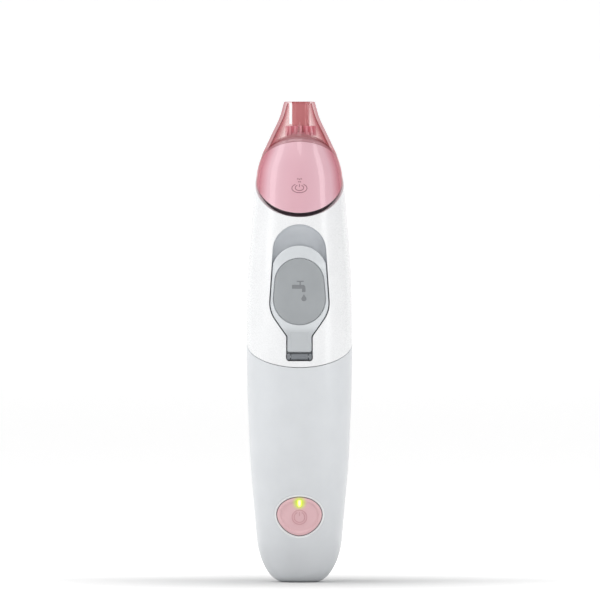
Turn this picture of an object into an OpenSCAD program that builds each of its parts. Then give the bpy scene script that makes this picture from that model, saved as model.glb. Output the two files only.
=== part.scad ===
// Cordless air-and-water jet cleaner for personal care.
// The front faces -Y, +Z is up, and the origin is the centre of the flat base.

/* [Body form] */
// Widest width of the grip
grip_w = 38.6; // [37.6:0.2:39.6]
// Widest depth of the grip
grip_d = 41; // [40:0.5:42]
// Height of the open end of the nozzle
nozzle_z = 174.8; // [173:0.2:177]
// Outer radius of the nozzle neck
neck_r = 5.6; // [5.2:0.1:6]
// How far the neck sits behind the axis
neck_y = 2.5; // [2.2:0.1:2.8]
// Wall of the two housings
wall = 1.8; // [1.6:0.1:1.9]
// Height of the rounding at the foot
foot_h = 16; // [14:1:18]
// How far the foot draws in
foot_in = 8.3; // [8:0.1:8.4]

/* [Parting planes] */
// Height of the housing seam on the axis
seam_z = 87; // [86.5:0.5:87.5]
// Rise of the housing seam towards the back
seam_slope = 0.43; // [0.4:0.01:0.46]
// Height of the trigger button's lower edge on the axis
button_z = 144.7; // [144:0.1:145.4]
// Rise of that edge towards the back
button_slope = 0.64; // [0.6:0.01:0.68]
// Height of the nozzle's rim on the axis
rim_z = 156.8; // [156.2:0.1:157.4]
// Fall of the nozzle's rim towards the back
rim_slope = 0.6; // [0.56:0.01:0.64]
// Open gap under the trigger button
button_gap = 0.9; // [0.8:0.05:1]

/* [Reservoir door] */
// Widest radius of the egg-shaped recess round the door
recess_r = 10.9; // [10.6:0.1:11.2]
// Centre height of that widest arc
recess_mid_z = 101.8; // [101.4:0.1:102.2]
// Radius of the recess's top arc
recess_top_r = 9.6; // [9.4:0.1:9.8]
// Centre height of the recess's top arc
recess_top_z = 120.6; // [120:0.1:121]
// Centre height of the door's top arc
door_top_z = 112.2; // [111.6:0.1:112.6]
// Widest radius of the grey pad on the door
pad_r = 9.4; // [9:0.1:9.5]
// Centre height of the pad's widest arc
pad_z = 103.2; // [102.8:0.1:103.6]
// Height of the door's hinge pin
hinge_z = 82.2; // [82:0.1:82.4]
// Distance of the hinge pin in front of the axis
hinge_y = 19; // [18.9:0.05:19.1]
// Height of the filling port
port_z = 106; // [105:0.5:107]

/* [Power button] */
// Width of the power button
power_w = 16.3; // [16:0.1:17]
// Height of the power button
power_h = 13.9; // [13.5:0.1:14.2]
// Height of its centre
power_z = 24.2; // [24:0.1:24.5]
// Travel of the power button
power_travel = 0.6; // [0.5:0.05:0.6]

/* [Drive] */
// Gear module
gear_module = 0.7; // [0.68:0.01:0.7]
// Teeth on the drive gear
gear_teeth = 30; // [30]
// Teeth on the motor pinion
pinion_teeth = 10; // [10]
// Distance of the plunger's axis behind the body axis
drive_y = 6.6; // [6.5:0.05:6.6]
// Stroke of the plunger
stroke = 10; // [9:0.5:10]
// Turn of the cam that draws the plunger through its stroke
cam_turn = 300; // [290:5:300]
// Bore radius of the power cylinder
cylinder_r = 6.6; // [6.4:0.1:6.6]

/* [Charging socket] */
// Bore radius of the charging socket
socket_r = 4; // [3.9:0.05:4]
// Depth of the charging socket
socket_depth = 12; // [11:0.5:12]

/* [Hidden] */

white = "#eef0f2";
pale_grey = "#d3d8dc";
mid_grey = "#a4a8ab";
pink = "#dfa4ad";
button_pink = "#e2bcc4";
rubber_grey = "#8a8f94";
steel = "#b9bec4";
brass = "#c9a24a";
inner_plastic = "#c7ccd2";

shell_sides = 56;
ring_step = 6;
fine = 48;
small = 28;

// The power button's outline: its widest line above its centre, and how pointed its lower half is
power_rise = 0.6;
power_point = 1.11;
power_sides = 60;

// Stations of the outer form: height, half width and half depth as shares of the grip's,
// and how far the section sits behind the axis.
stations = [
    [0, 0.73, 0.69, 0],
    [24, 0.84, 0.83, 0],
    [48, 0.94, 0.93, 0],
    [88, 1, 1, 0],
    [114, 0.964, 0.995, 0.2],
    [136, 0.878, 0.917, 0.7],
    [146, 0.83, 0.82, 1.2],
    [153, 0.757, 0.722, 1.8],
    [162, 0.55, 0.537, 2.5],
    [169, 0.378, 0.371, 2.6],
    [nozzle_z, 2 * neck_r / grip_w, 2 * neck_r / grip_d, neck_y]
];
last_row = len(stations) - 1;

// The station row just below a height
function row_at(z, i = 0) = i >= last_row - 1 || z < stations[i + 1][0] ? i : row_at(z, i + 1);

// Rate of change of a column at a row, taken between its neighbours
function rate(i, column) =
    let (a = max(i - 1, 0), b = min(i + 1, last_row))
    (stations[b][column] - stations[a][column]) / (stations[b][0] - stations[a][0]);

// A column of the stations at any height, along a smooth cubic
function shape_at(z, column) =
    let (
        i = row_at(z),
        span = stations[i + 1][0] - stations[i][0],
        t = (z - stations[i][0]) / span,
        a = stations[i][column],
        b = stations[i + 1][column]
    )
    (2 * t ^ 3 - 3 * t ^ 2 + 1) * a + (t ^ 3 - 2 * t ^ 2 + t) * span * rate(i, column)
    + (3 * t ^ 2 - 2 * t ^ 3) * b + (t ^ 3 - t ^ 2) * span * rate(i + 1, column);

function foot_draw(z) = z >= foot_h ? 0 : foot_in * (1 - sqrt(1 - (1 - max(z, 0) / foot_h) ^ 2));
function half_w(z) = shape_at(z, 1) * grip_w / 2 - foot_draw(z);
function half_d(z) = shape_at(z, 2) * grip_d / 2 - foot_draw(z);
function mid_y(z) = shape_at(z, 3);

// Heights of the loft's rings: close together round the foot and the head
ring_z = concat(
    [for (a = [15:15:75]) foot_h * (1 - cos(a))],
    [for (z = [foot_h:ring_step:138]) z],
    [for (z = [141:3:nozzle_z]) z]
);

// The outer form, drawn in by an inset, between two heights
module form(inset, z0, z1) {
    heights = concat([z0], [for (z = ring_z) if (z > z0 + 0.7 && z < z1 - 0.7) z], [z1]);
    last = len(heights) - 1;
    points = [
        for (z = heights, i = [0:shell_sides - 1])
            let (a = 360 * i / shell_sides)
            [(half_w(z) - inset) * cos(a), mid_y(z) + (half_d(z) - inset) * sin(a), z]
    ];
    sides = [
        for (k = [0:last - 1], i = [0:shell_sides - 1])
            let (j = (i + 1) % shell_sides, low = k * shell_sides, high = low + shell_sides)
            [low + i, high + i, high + j, low + j]
    ];
    bottom = [for (i = [0:shell_sides - 1]) i];
    top = [for (i = [shell_sides - 1:-1:0]) last * shell_sides + i];
    polyhedron(points, concat([bottom], sides, [top]), convexity = 6);
}

// A skin that follows the form, from one inset to a deeper one
module skin(outer, inner, z0, z1) {
    difference() {
        form(outer, z0, z1);
        form(inner, z0 - 1, z1 + 1);
    }
}

// Everything above a plane that crosses the axis at height z and tilts front to back
module above(z, slope) {
    translate([0, 0, z]) rotate([atan(slope), 0, 0]) translate([-60, -60, 0]) cube([120, 120, 200]);
}

// Everything that the trigger button and the nozzle rise from, lowered by a drop
module above_collar(drop) {
    above(button_z - drop, button_slope);
    above(rim_z - drop, -rim_slope);
}

// A flat outline in X and Z, carried forward from one depth to another
module forward(near, far) {
    translate([0, -near, 0]) rotate([90, 0, 0]) linear_extrude(far - near, convexity = 4) children();
}

// A cylinder along Y, from one depth to another in front of the axis
module bar_y(z, r, near, far, x = 0) {
    translate([x, -near, z]) rotate([90, 0, 0]) cylinder(r = r, h = far - near);
}

// A cylinder along X about a point in Y and Z
module bar_x(y, z, r, x0, x1) {
    translate([x0, y, z]) rotate([0, 90, 0]) cylinder(r = r, h = x1 - x0);
}

// A straight round rod between two points
module rod(a, b, r) {
    d = b - a;
    flat = norm([d.x, d.y]);
    translate(a) rotate([0, atan2(flat, d.z), atan2(d.y, d.x)]) cylinder(r = r, h = norm(d));
}

// A tube standing on Z
module tube(r_out, r_in, z0, z1) {
    difference() {
        translate([0, 0, z0]) cylinder(r = r_out, h = z1 - z0);
        translate([0, 0, z0 - 1]) cylinder(r = r_in, h = z1 - z0 + 2);
    }
}

// An O-ring lying flat
module o_ring(r, thick, z) {
    translate([0, 0, z]) rotate_extrude() translate([r, 0]) circle(r = thick, $fn = 20);
}

/* ---- Outlines of the reservoir door ---- */
strap_half = 4.85;
strap_low_z = 80.2;
strap_arc_z = 91;

module recess_outline(draw, low_z = strap_low_z) {
    hull() {
        translate([0, recess_top_z]) circle(r = recess_top_r - draw, $fn = fine);
        translate([0, recess_mid_z]) circle(r = recess_r - draw, $fn = fine);
    }
    hull() {
        translate([0, recess_mid_z]) circle(r = recess_r - draw, $fn = fine);
        translate([0, strap_arc_z]) circle(r = strap_half - draw, $fn = fine);
    }
    translate([draw - strap_half, low_z + draw])
        square([2 * (strap_half - draw), strap_arc_z - low_z - draw]);
}

liner_edge = 0.5;
door_clear = 0.3;
door_draw = liner_edge + door_clear;
door_top_r = 10.2;
tongue_half = 3.1;
tongue_z = hinge_z + 1.7;
floor_inset = 2.6;
floor_thick = 1.2;
door_out = 0.25;
door_in = 1.95;

module door_outline() {
    intersection() {
        recess_outline(door_draw, tongue_z - door_draw);
        union() {
            translate([0, door_top_z]) circle(r = door_top_r, $fn = fine);
            translate([-20, tongue_z - 1]) square([40, door_top_z - tongue_z + 1]);
        }
    }
    translate([-tongue_half, hinge_z]) square([2 * tongue_half, tongue_z - hinge_z + 1]);
}

module pad_outline(draw) {
    hull() {
        translate([0, pad_z + 5.8]) circle(r = pad_r - 0.5 - draw, $fn = fine);
        translate([0, pad_z]) circle(r = pad_r - draw, $fn = fine);
    }
}

/* ---- Housings ---- */
housing_top_z = 156;
recess_depth = 12;

module upper_housing() {
    color(white) resize([0, 0, 0]) difference() {
        form(0, 74, housing_top_z);
        form(wall, 73, housing_top_z + 1);
        difference() {
            translate([-60, -60, 60]) cube([120, 120, 60]);
            above(seam_z + 0.1, seam_slope);
        }
        above_collar(0);
        forward(recess_depth, 30) recess_outline(0);
    }
}

floor_z = 2;
socket_wall = 0.8;
socket_hole_r = socket_r + socket_wall + 0.05;

module power_outline(draw) {
    offset(delta = -draw) translate([0, power_z + power_rise]) polygon([for (i = [0 : power_sides - 1])
        let (a = 360 * i / power_sides, c = cos(a), s = sin(a), e = s > 0 ? 1 : power_point)
        [sign(c) * pow(abs(c), e) * power_w / 2,
         sign(s) * pow(abs(s), e) * (power_h / 2 + (s > 0 ? -power_rise : power_rise))]]);
}

module lower_housing() {
    color(pale_grey) resize([0, 0, 0]) difference() {
        form(0, 0, 100);
        form(wall, floor_z, 101);
        above(seam_z - 0.1, seam_slope);
        forward(8, 30) power_outline(-0.35);
        translate([0, 0, -1]) cylinder(r = socket_hole_r, h = floor_z + 2, $fn = fine);
    }
}

seal_half = 0.45;

module housing_seal() {
    color(rubber_grey) resize([0, 0, 0]) difference() {
        skin(wall + 0.05, wall + 0.75, 74, 100);
        above(seam_z + seal_half, seam_slope);
        difference() {
            translate([-60, -60, 60]) cube([120, 120, 60]);
            above(seam_z - seal_half, seam_slope);
        }
    }
}

/* ---- Head ---- */
frame_out = 3.6;
frame_in = 4.8;
flange_drop = 1;
flange_depth = 2.6;
head_top_z = 158;
spigot_x = 0.5;
spigot_hole_r = 3.05;
boot_z = 141.5;
boot_hole_r = 2.6;
pivot_y = 4.5;
pivot_z = 151.2;

module head_frame() {
    color(inner_plastic) resize([0, 0, 0]) difference() {
        union() {
            difference() {
                form(frame_out, 120, head_top_z);
                form(frame_in, 119, head_top_z - 1.4);
            }
            difference() {
                skin(wall + 0.1, frame_out + 0.2, 120, head_top_z - 2);
                above_collar(flange_drop);
            }
            for (side = [-1, 1])
                bar_x(pivot_y, pivot_z, 2.2, side > 0 ? 8.4 : -11.4, side > 0 ? 11.4 : -8.4);
        }
        difference() {
            translate([-60, -60, 100]) cube([120, 120, 80]);
            above_collar(flange_drop + flange_depth);
        }
        translate([spigot_x, neck_y, head_top_z - 4])
            cylinder(r = spigot_hole_r, h = 8, $fn = small);
        bar_y(boot_z, boot_hole_r, 8, 22, $fn = small);
        for (side = [-1, 1])
            bar_x(pivot_y, pivot_z, pin_r, side > 0 ? 7 : -12, side > 0 ? 12 : -7, $fn = small);
    }
}

module at_spigot() translate([spigot_x, neck_y, 0]) children();

spigot_top_z = 165.5;
spigot_r = 2.3;
spigot_bore_r = 1;
seal_z = 163.6;

module outlet_spigot() {
    color(inner_plastic) at_spigot() difference() {
        union() {
            translate([0, 0, head_top_z - 4]) cylinder(r = 3, h = 4, $fn = fine);
            translate([0, 0, head_top_z]) cylinder(r = 4.2, h = 1.2, $fn = fine);
            translate([0, 0, head_top_z]) cylinder(r = spigot_r, h = spigot_top_z - head_top_z, $fn = fine);
        }
        translate([0, 0, head_top_z - 5]) cylinder(r = spigot_bore_r, h = 20, $fn = small);
        translate([0, 0, head_top_z - 5]) cylinder(r = 1.85, h = 4, $fn = small);
        tube(spigot_r + 1, spigot_r - 0.35, seal_z - 0.42, seal_z + 0.42, $fn = small);
    }
}

module nozzle_seal() {
    color(rubber_grey) at_spigot() o_ring(spigot_r + 0.05, 0.4, seal_z, $fn = fine);
}

/* ---- Trigger button ---- */
button_out = 0.1;
button_in = 1.6;
lug_r = 1.9;
lug_in = 12.2;
lug_out = 13.6;
pin_r = 0.9;
pin_clear = 0.05;

module trigger_button() {
    color(button_pink) resize([0, 0, 0]) difference() {
        union() {
            difference() {
                skin(button_out, button_in, 128, 164);
                difference() {
                    translate([-60, -60, 100]) cube([120, 120, 80]);
                    above(button_z + button_gap * sqrt(1 + button_slope ^ 2), button_slope);
                }
                above(rim_z - 0.35, -rim_slope);
                translate([-30, 8.1, 100]) cube([60, 30, 80]);
            }
            for (side = [-1, 1])
                bar_x(pivot_y, pivot_z, lug_r, side > 0 ? lug_in : -lug_out, side > 0 ? lug_out : -lug_in,
                    $fn = small);
        }
        for (side = [-1, 1])
            bar_x(pivot_y, pivot_z, pin_r + pin_clear, side > 0 ? lug_in - 1 : -13.1,
                side > 0 ? 13.1 : 1 - lug_in, $fn = small);
    }
}

module trigger_pivot_pins() {
    color(steel) for (side = [-1, 1])
        bar_x(pivot_y, pivot_z, pin_r - 0.02, side > 0 ? 8.5 : -13, side > 0 ? 13 : -8.5, $fn = fine);
}

module trigger_switch() {
    color("#3a3d42") translate([-3, -10.6, boot_z - 3]) cube([6, 3.2, 6]);
    color("#3a3d42") bar_y(boot_z, 1.2, 10.5, 12.8, $fn = small);
}

module switch_boot() {
    color(rubber_grey) difference() {
        union() {
            bar_y(boot_z, boot_hole_r - 0.1, 12.1, 13.8, $fn = fine);
            bar_y(boot_z, 1.6, 13.7, 14.3, $fn = fine);
        }
        bar_y(boot_z, 1.5, 11, 13.4, $fn = fine);
    }
}

/* ---- Nozzle ---- */
nozzle_wall = 1.3;
slit_x = -4;
slit_w = 1.1;
slit_low_z = 166.7;
slit_top_z = nozzle_z - 0.6;
tube_r = 3.2;
tip_r = 2;
tip_depth = 6;

module nozzle_slit() {
    translate([slit_x, neck_y - 12, slit_low_z]) cube([slit_w, 24, slit_top_z - slit_low_z]);
}

module nozzle_shell() {
    color(pink) resize([0, 0, 0]) difference() {
        union() {
            difference() {
                form(0, 140, nozzle_z);
                form(nozzle_wall, 139, nozzle_z + 1);
            }
            translate([0, neck_y, nozzle_z - 0.6]) cylinder(r = neck_r - 0.3, h = 0.6, $fn = fine);
        }
        difference() {
            translate([-60, -60, 100]) cube([120, 120, 80]);
            above(rim_z, -rim_slope);
        }
        nozzle_slit();
        at_spigot() translate([0, 0, 160]) cylinder(r = tube_r + 0.02, h = 20, $fn = fine);
    }
}

module jet_tube() {
    color(pink) at_spigot() difference() {
        translate([0, 0, 160.5]) cylinder(r = tube_r, h = nozzle_z - 160.5, $fn = fine);
        translate([0, 0, 160]) cylinder(r = spigot_r + 0.5, h = 6.5, $fn = fine);
        translate([0, 0, 160]) cylinder(r = 0.8, h = 20, $fn = small);
        translate([0, 0, nozzle_z - tip_depth]) cylinder(r = tip_r, h = tip_depth + 1, $fn = fine);
    }
}

collar_ribs = 16;

module nozzle_collar() {
    color(pink) at_spigot() difference() {
        union() {
            translate([0, 0, 162.4]) cylinder(r = 5, h = 1.2, $fn = fine);
            for (i = [0:collar_ribs - 1]) rotate([0, 0, i * 360 / collar_ribs])
                translate([tube_r, -0.4, 162.4]) cube([2.4, 0.8, 3.6]);
        }
        translate([0, 0, 160]) cylinder(r = tube_r + 0.02, h = 10, $fn = fine);
    }
}

/* ---- Reservoir door ---- */
ear_in = tongue_half + 0.25;
ear_out = strap_half - liner_edge + 0.1;
barrel_r = 1.15;
hinge_pin_r = 0.5;
port_r = 3.3;
port_out_r = 4.3;

module door_recess_liner() {
    color(mid_grey) resize([0, 0, 0]) difference() {
        union() {
            intersection() {
                skin(floor_inset, floor_inset + floor_thick, 76, 136);
                forward(recess_depth, 30) recess_outline(0.05);
            }
            difference() {
                intersection() {
                    skin(0.12, floor_inset + floor_thick, 76, 136);
                    forward(recess_depth, 30) recess_outline(0.05);
                }
                forward(recess_depth - 1, 31) recess_outline(liner_edge);
            }
            for (side = [-1, 1])
                bar_x(-hinge_y, hinge_z, barrel_r, side > 0 ? ear_in : -ear_out, side > 0 ? ear_out : -ear_in,
                    $fn = fine);
        }
        bar_y(port_z, port_out_r + 0.1, 8, 30, $fn = fine);
        bar_x(-hinge_y, hinge_z, hinge_pin_r, 0.1 - ear_out, ear_out - 0.1, $fn = fine);
    }
}

module door_panel() {
    resize([0, 0, 0]) difference() {
        intersection() {
            skin(door_out, door_in, 76, 130);
            forward(recess_depth, 30) door_outline();
        }
        intersection() {
            skin(-1, door_out + 0.5, 76, 130);
            forward(recess_depth, 31) pad_outline(-0.05);
        }
        bar_y(port_z, port_out_r + 0.1, 12, 18.3, $fn = fine);
        bar_x(-hinge_y, hinge_z, barrel_r - 0.2, -6, 6, $fn = small);
    }
}

module reservoir_door() {
    color(pale_grey) {
        door_panel();
        difference() {
            bar_x(-hinge_y, hinge_z, barrel_r, -tongue_half, tongue_half, $fn = fine);
            bar_x(-hinge_y, hinge_z, hinge_pin_r + pin_clear, -6, 6, $fn = fine);
        }
    }
}

module door_pad() {
    color(mid_grey) resize([0, 0, 0]) intersection() {
        skin(door_out - 0.15, door_out + 0.5, 76, 130);
        forward(recess_depth, 30) pad_outline(0);
    }
}

module door_plug() {
    color(rubber_grey) {
        bar_y(port_z, port_out_r - 0.2, 17.75, 18.3, $fn = fine);
        bar_y(port_z, port_r - 0.15, 16.2, 17.8, $fn = fine);
    }
}

module door_hinge_pin() {
    color(steel) bar_x(-hinge_y, hinge_z, hinge_pin_r - 0.01, 0.15 - ear_out, ear_out - 0.15, $fn = fine);
}

/* ---- Water reservoir ---- */
tank_r = 14;
tank_back_y = -1.4;
tank_low_z = 101.2;
tank_top_z = 130;
tank_wall = 1.2;
dip_x = 8.2;
dip_y = -4.2;
dip_r = 1.2;

module tank_section(r, back) {
    intersection() {
        circle(r = r, $fn = fine * 2);
        translate([-r, -r]) square([2 * r, r + back]);
    }
}

module reservoir_tank() {
    color("#dfe8ee") difference() {
        union() {
            translate([0, 0, tank_low_z])
                linear_extrude(tank_top_z - tank_low_z) tank_section(tank_r, tank_back_y);
            bar_y(port_z, port_out_r, 12, 17.65, $fn = fine);
        }
        translate([0, 0, tank_low_z + tank_wall])
            linear_extrude(tank_top_z - tank_low_z - 2 * tank_wall)
                tank_section(tank_r - tank_wall, tank_back_y - tank_wall);
        bar_y(port_z, port_r, 6, 20, $fn = fine);
        translate([dip_x, dip_y, tank_top_z - 5]) cylinder(r = dip_r + 0.02, h = 10, $fn = small);
    }
}

module dip_tube() {
    color("#e8eef2") translate([dip_x, dip_y, 0])
        tube(dip_r, 0.6, tank_low_z + 2.5, manifold_z + 2.4, $fn = small);
}

/* ---- Power cylinder and mixing head ---- */
plate_low_z = 91.2;
plate_thick = 1.7;
plate_gap = 6.3;
plate_high_z = plate_low_z + plate_thick + plate_gap;
cylinder_low_z = plate_high_z + plate_thick;
cylinder_top_z = 127;
head_thick = 1.6;
outlet_r = 1.8;
manifold_z = 133;
manifold_h = 5;

module at_drive() translate([0, drive_y, 0]) children();

module power_cylinder() {
    color("#d9dde1") at_drive() difference() {
        union() {
            translate([0, 0, cylinder_low_z])
                cylinder(r = cylinder_r + 1, h = cylinder_top_z - cylinder_low_z, $fn = 64);
            translate([0, 0, cylinder_top_z - 1]) cylinder(r = outlet_r, h = 4.5, $fn = small);
        }
        translate([0, 0, cylinder_low_z - 1])
            cylinder(r = cylinder_r, h = cylinder_top_z - cylinder_low_z + 1 - head_thick, $fn = 64);
        translate([0, 0, cylinder_low_z]) cylinder(r = 1, h = 40, $fn = small);
    }
}

module outlet_valve() {
    color(rubber_grey) at_drive() difference() {
        translate([0, 0, cylinder_top_z + 0.05])
            cylinder(r = 2.9, h = manifold_z - cylinder_top_z - 0.05, $fn = fine);
        translate([0, 0, cylinder_top_z - 1]) cylinder(r = outlet_r + 0.02, h = 4.6, $fn = small);
        translate([0, 0, cylinder_top_z]) cylinder(r = 0.9, h = 12, $fn = small);
    }
}

module mixing_manifold() {
    color(inner_plastic) difference() {
        translate([0, 0, manifold_z]) linear_extrude(manifold_h) hull() {
            translate([0, drive_y]) circle(r = 3.4, $fn = 32);
            translate([dip_x, dip_y]) circle(r = 2.4, $fn = 32);
            translate([spigot_x, neck_y]) circle(r = 3.4, $fn = 32);
        }
        at_drive() translate([0, 0, manifold_z - 1]) cylinder(r = 0.9, h = 4.4, $fn = small);
        translate([dip_x, dip_y, manifold_z - 1]) cylinder(r = dip_r + 0.02, h = 4.4, $fn = small);
        translate([spigot_x, neck_y, manifold_z + 1.4]) cylinder(r = 1.82, h = 6, $fn = small);
        for (inlet = [[0, drive_y], [dip_x, dip_y]])
            rod([inlet.x, inlet.y, manifold_z + 2.5], [spigot_x, neck_y, manifold_z + 2.5], 0.6, $fn = small);
    }
}

module delivery_tube() {
    color("#e8eef2") at_spigot() tube(1.8, 1, manifold_z + manifold_h - 1.5, head_top_z - 1, $fn = small);
}

/* ---- Plunger, spring and cam gear ---- */
rod_r = 1.8;
rod_low_z = 90.2;
piston_low_z = 117;
piston_h = 5;
spring_low_z = cylinder_low_z + 0.1;
spring_turns = 6;
spring_r = 4.2;
spring_wire = 0.45;
follower_r = 0.8;
gear_low_z = 93.5;
gear_h = 4.5;
cam_base = 0.3;
cam_in = 2.3;
cam_out = 4.6;
follower_z = gear_low_z - cam_base - 1.15;
guide_r = 4.9;

module plunger() {
    color("#e6e2d8") at_drive() difference() {
        union() {
            translate([0, 0, rod_low_z]) cylinder(r = rod_r, h = piston_low_z - rod_low_z + 1, $fn = fine);
            translate([0, 0, piston_low_z]) cylinder(r = cylinder_r - 0.1, h = piston_h, $fn = 64);
        }
        tube(cylinder_r + 1, cylinder_r - 1.25, piston_low_z + 2, piston_low_z + 3.4, $fn = 64);
        bar_x(0, follower_z, follower_r, -1, 4, $fn = small);
    }
}

module plunger_o_ring() {
    color("#2b2d30") at_drive() o_ring(cylinder_r - 0.62, 0.6, piston_low_z + 2.7, $fn = 64);
}

module follower_pin() {
    color(steel) at_drive() bar_x(0, follower_z, follower_r - 0.01, -0.9, 5.7, $fn = small);
}

// The spring's wire: a ring of points at each step along the helix
module power_spring() {
    steps = 18;
    wire_sides = 6;
    top = piston_low_z - spring_wire - 0.05;
    low = spring_low_z + spring_wire;
    count = spring_turns * steps;
    points = [
        for (k = [0:count], i = [0:wire_sides - 1])
            let (
                a = 360 * k / steps,
                b = 360 * i / wire_sides,
                r = spring_r + spring_wire * cos(b)
            )
            [r * cos(a), r * sin(a), low + (top - low) * k / count + spring_wire * sin(b)]
    ];
    sides = [
        for (k = [0:count - 1], i = [0:wire_sides - 1])
            let (j = (i + 1) % wire_sides, here = k * wire_sides, next = here + wire_sides)
            [here + i, here + j, next + j, next + i]
    ];
    start = [for (i = [wire_sides - 1:-1:0]) i];
    finish = [for (i = [0:wire_sides - 1]) count * wire_sides + i];
    color(steel) at_drive() polyhedron(points, concat([start], sides, [finish]), convexity = 12);
}

// Involute gear outline with a small backlash
pressure = 25;
backlash_deg = 0.9;
flank_steps = 4;

function inv(a) = (tan(a) - a * PI / 180) * 180 / PI;

function polar(r, a) = [r * cos(a), r * sin(a)];

module gear_outline(teeth, slack) {
    pitch_r = gear_module * teeth / 2;
    base_r = pitch_r * cos(pressure);
    tip_r = pitch_r + 0.8 * gear_module;
    root_r = pitch_r - 1.05 * gear_module;
    start_r = max(base_r, root_r);
    function half_tooth(r) = 90 / teeth - slack + inv(pressure) - inv(acos(min(1, base_r / r)));
    flank = [for (i = [0:flank_steps]) start_r + (tip_r - start_r) * i / flank_steps];
    polygon([
        for (tooth = [0:teeth - 1])
            let (c = tooth * 360 / teeth)
            each concat(
                [polar(root_r, c - half_tooth(start_r))],
                [for (r = flank) polar(r, c - half_tooth(r))],
                [for (i = [flank_steps:-1:0]) polar(flank[i], c + half_tooth(flank[i]))],
                [polar(root_r, c + half_tooth(start_r))]
            )
    ]);
}

// A ring ramp under the gear: it deepens steadily as it runs clockwise, then drops away
module cam_ramp() {
    step = 10;
    count = cam_turn / step;
    points = [
        for (k = [0:count])
            let (a = -k * step, low = -cam_base - stroke * k / count)
            each [
                [cam_in * cos(a), cam_in * sin(a), 0.2],
                [cam_out * cos(a), cam_out * sin(a), 0.2],
                [cam_out * cos(a), cam_out * sin(a), low],
                [cam_in * cos(a), cam_in * sin(a), low]
            ]
    ];
    sides = [
        for (k = [0:count - 1], i = [0:3])
            let (j = (i + 1) % 4, here = 4 * k, next = here + 4)
            [here + i, here + j, next + j, next + i]
    ];
    polyhedron(points, concat([[3, 2, 1, 0]], sides, [[for (i = [0:3]) 4 * count + i]]), convexity = 4);
}

gear_slack = 0.45;
hub_r = 3;
gear_distance = gear_module * (gear_teeth + pinion_teeth) / 2;
motor_y = drive_y - gear_distance;
pinion_phase = 180 / pinion_teeth;

module drive_gear() {
    color("#e9e4d4") at_drive() difference() {
        union() {
            translate([0, 0, gear_low_z])
                linear_extrude(gear_h, convexity = 6) gear_outline(gear_teeth, gear_slack);
            translate([0, 0, gear_low_z + gear_h - 0.1]) cylinder(r = hub_r, h = 2.8, $fn = fine);
            translate([0, 0, gear_low_z]) cam_ramp();
        }
        translate([0, 0, gear_low_z - 1]) cylinder(r = rod_r + 0.1, h = 10, $fn = fine);
    }
}

module gear_bushing() {
    color(brass) at_drive()
        tube(hub_r + 1.4, hub_r + 0.05, plate_high_z + 0.02, cylinder_low_z - 0.02, $fn = fine);
}

module at_motor() translate([0, motor_y, 0]) children();

shaft_r = 0.75;
motor_r = 7.5;
motor_low_z = 71;

module motor_pinion() {
    color(brass) at_motor() difference() {
        translate([0, 0, gear_low_z + 0.2]) rotate([0, 0, pinion_phase])
            linear_extrude(gear_h - 0.4) gear_outline(pinion_teeth, gear_slack);
        translate([0, 0, gear_low_z - 1]) cylinder(r = shaft_r + 0.01, h = 8, $fn = fine);
    }
}

module motor_shaft() {
    color(steel) at_motor() translate([0, 0, motor_low_z + 1]) cylinder(r = shaft_r, h = 26.8, $fn = fine);
}

module motor() {
    color(steel) at_motor() difference() {
        union() {
            translate([0, 0, motor_low_z]) cylinder(r = motor_r, h = plate_low_z - motor_low_z, $fn = 64);
            translate([0, 0, plate_low_z - 0.5]) cylinder(r = 2.4, h = 1.7, $fn = fine);
        }
        translate([0, 0, motor_low_z + 0.9]) cylinder(r = shaft_r + 0.05, h = 30, $fn = fine);
    }
    color(brass) for (side = [-1, 1])
        translate([side * 3.5 - 0.5, motor_y - 0.2, motor_low_z - 1]) cube([1, 0.4, 1.1]);
}

/* ---- Drive frame ---- */
plate_r = 16.4;
plate_front_y = -11.4;
post_r = 1.9;
screw_r = 0.9;
posts = [[13, -5], [-13, -5], [13.2, 5.4], [-13.2, 5.4]];
slot_low_z = follower_z - stroke - 1.2;
guide_low_z = 78.5;

module bearing_plate(z) {
    intersection() {
        translate([0, 0, z]) cylinder(r = plate_r, h = plate_thick, $fn = 64);
        translate([-30, plate_front_y, z - 1]) cube([60, 60, plate_thick + 2]);
    }
}

module lower_bearing_plate() {
    color(inner_plastic) difference() {
        union() {
            bearing_plate(plate_low_z);
            for (p = posts) translate([p.x, p.y, plate_low_z])
                cylinder(r = post_r, h = plate_thick + plate_gap, $fn = small);
            at_drive() translate([0, 0, guide_low_z])
                cylinder(r = guide_r + 1, h = plate_low_z - guide_low_z + 0.5, $fn = fine);
        }
        at_drive() translate([0, 0, guide_low_z - 1]) cylinder(r = guide_r, h = 20, $fn = fine);
        at_drive() translate([0, -follower_r - 0.1, slot_low_z])
            cube([7, 2 * follower_r + 0.2, plate_low_z + plate_thick - slot_low_z + 1]);
        at_motor() translate([0, 0, plate_low_z - 1]) cylinder(r = 2.45, h = 5, $fn = fine);
        for (p = posts) translate([p.x, p.y, plate_low_z - 1])
            cylinder(r = screw_r + 0.05, h = 9.5, $fn = small);
    }
}

module upper_bearing_plate() {
    color(inner_plastic) difference() {
        bearing_plate(plate_high_z);
        at_drive() translate([0, 0, plate_high_z - 1]) cylinder(r = hub_r + 1.42, h = 5, $fn = fine);
    }
}

module frame_screws() {
    color(steel) for (p = posts) translate([p.x, p.y, plate_low_z]) difference() {
        union() {
            translate([0, 0, -1.2]) cylinder(r = 1.8, h = 1.2, $fn = small);
            cylinder(r = screw_r, h = 8, $fn = small);
        }
        translate([0, 0, -2]) cylinder(r = 0.8, h = 1.5, $fn = 6);
    }
}

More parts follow.
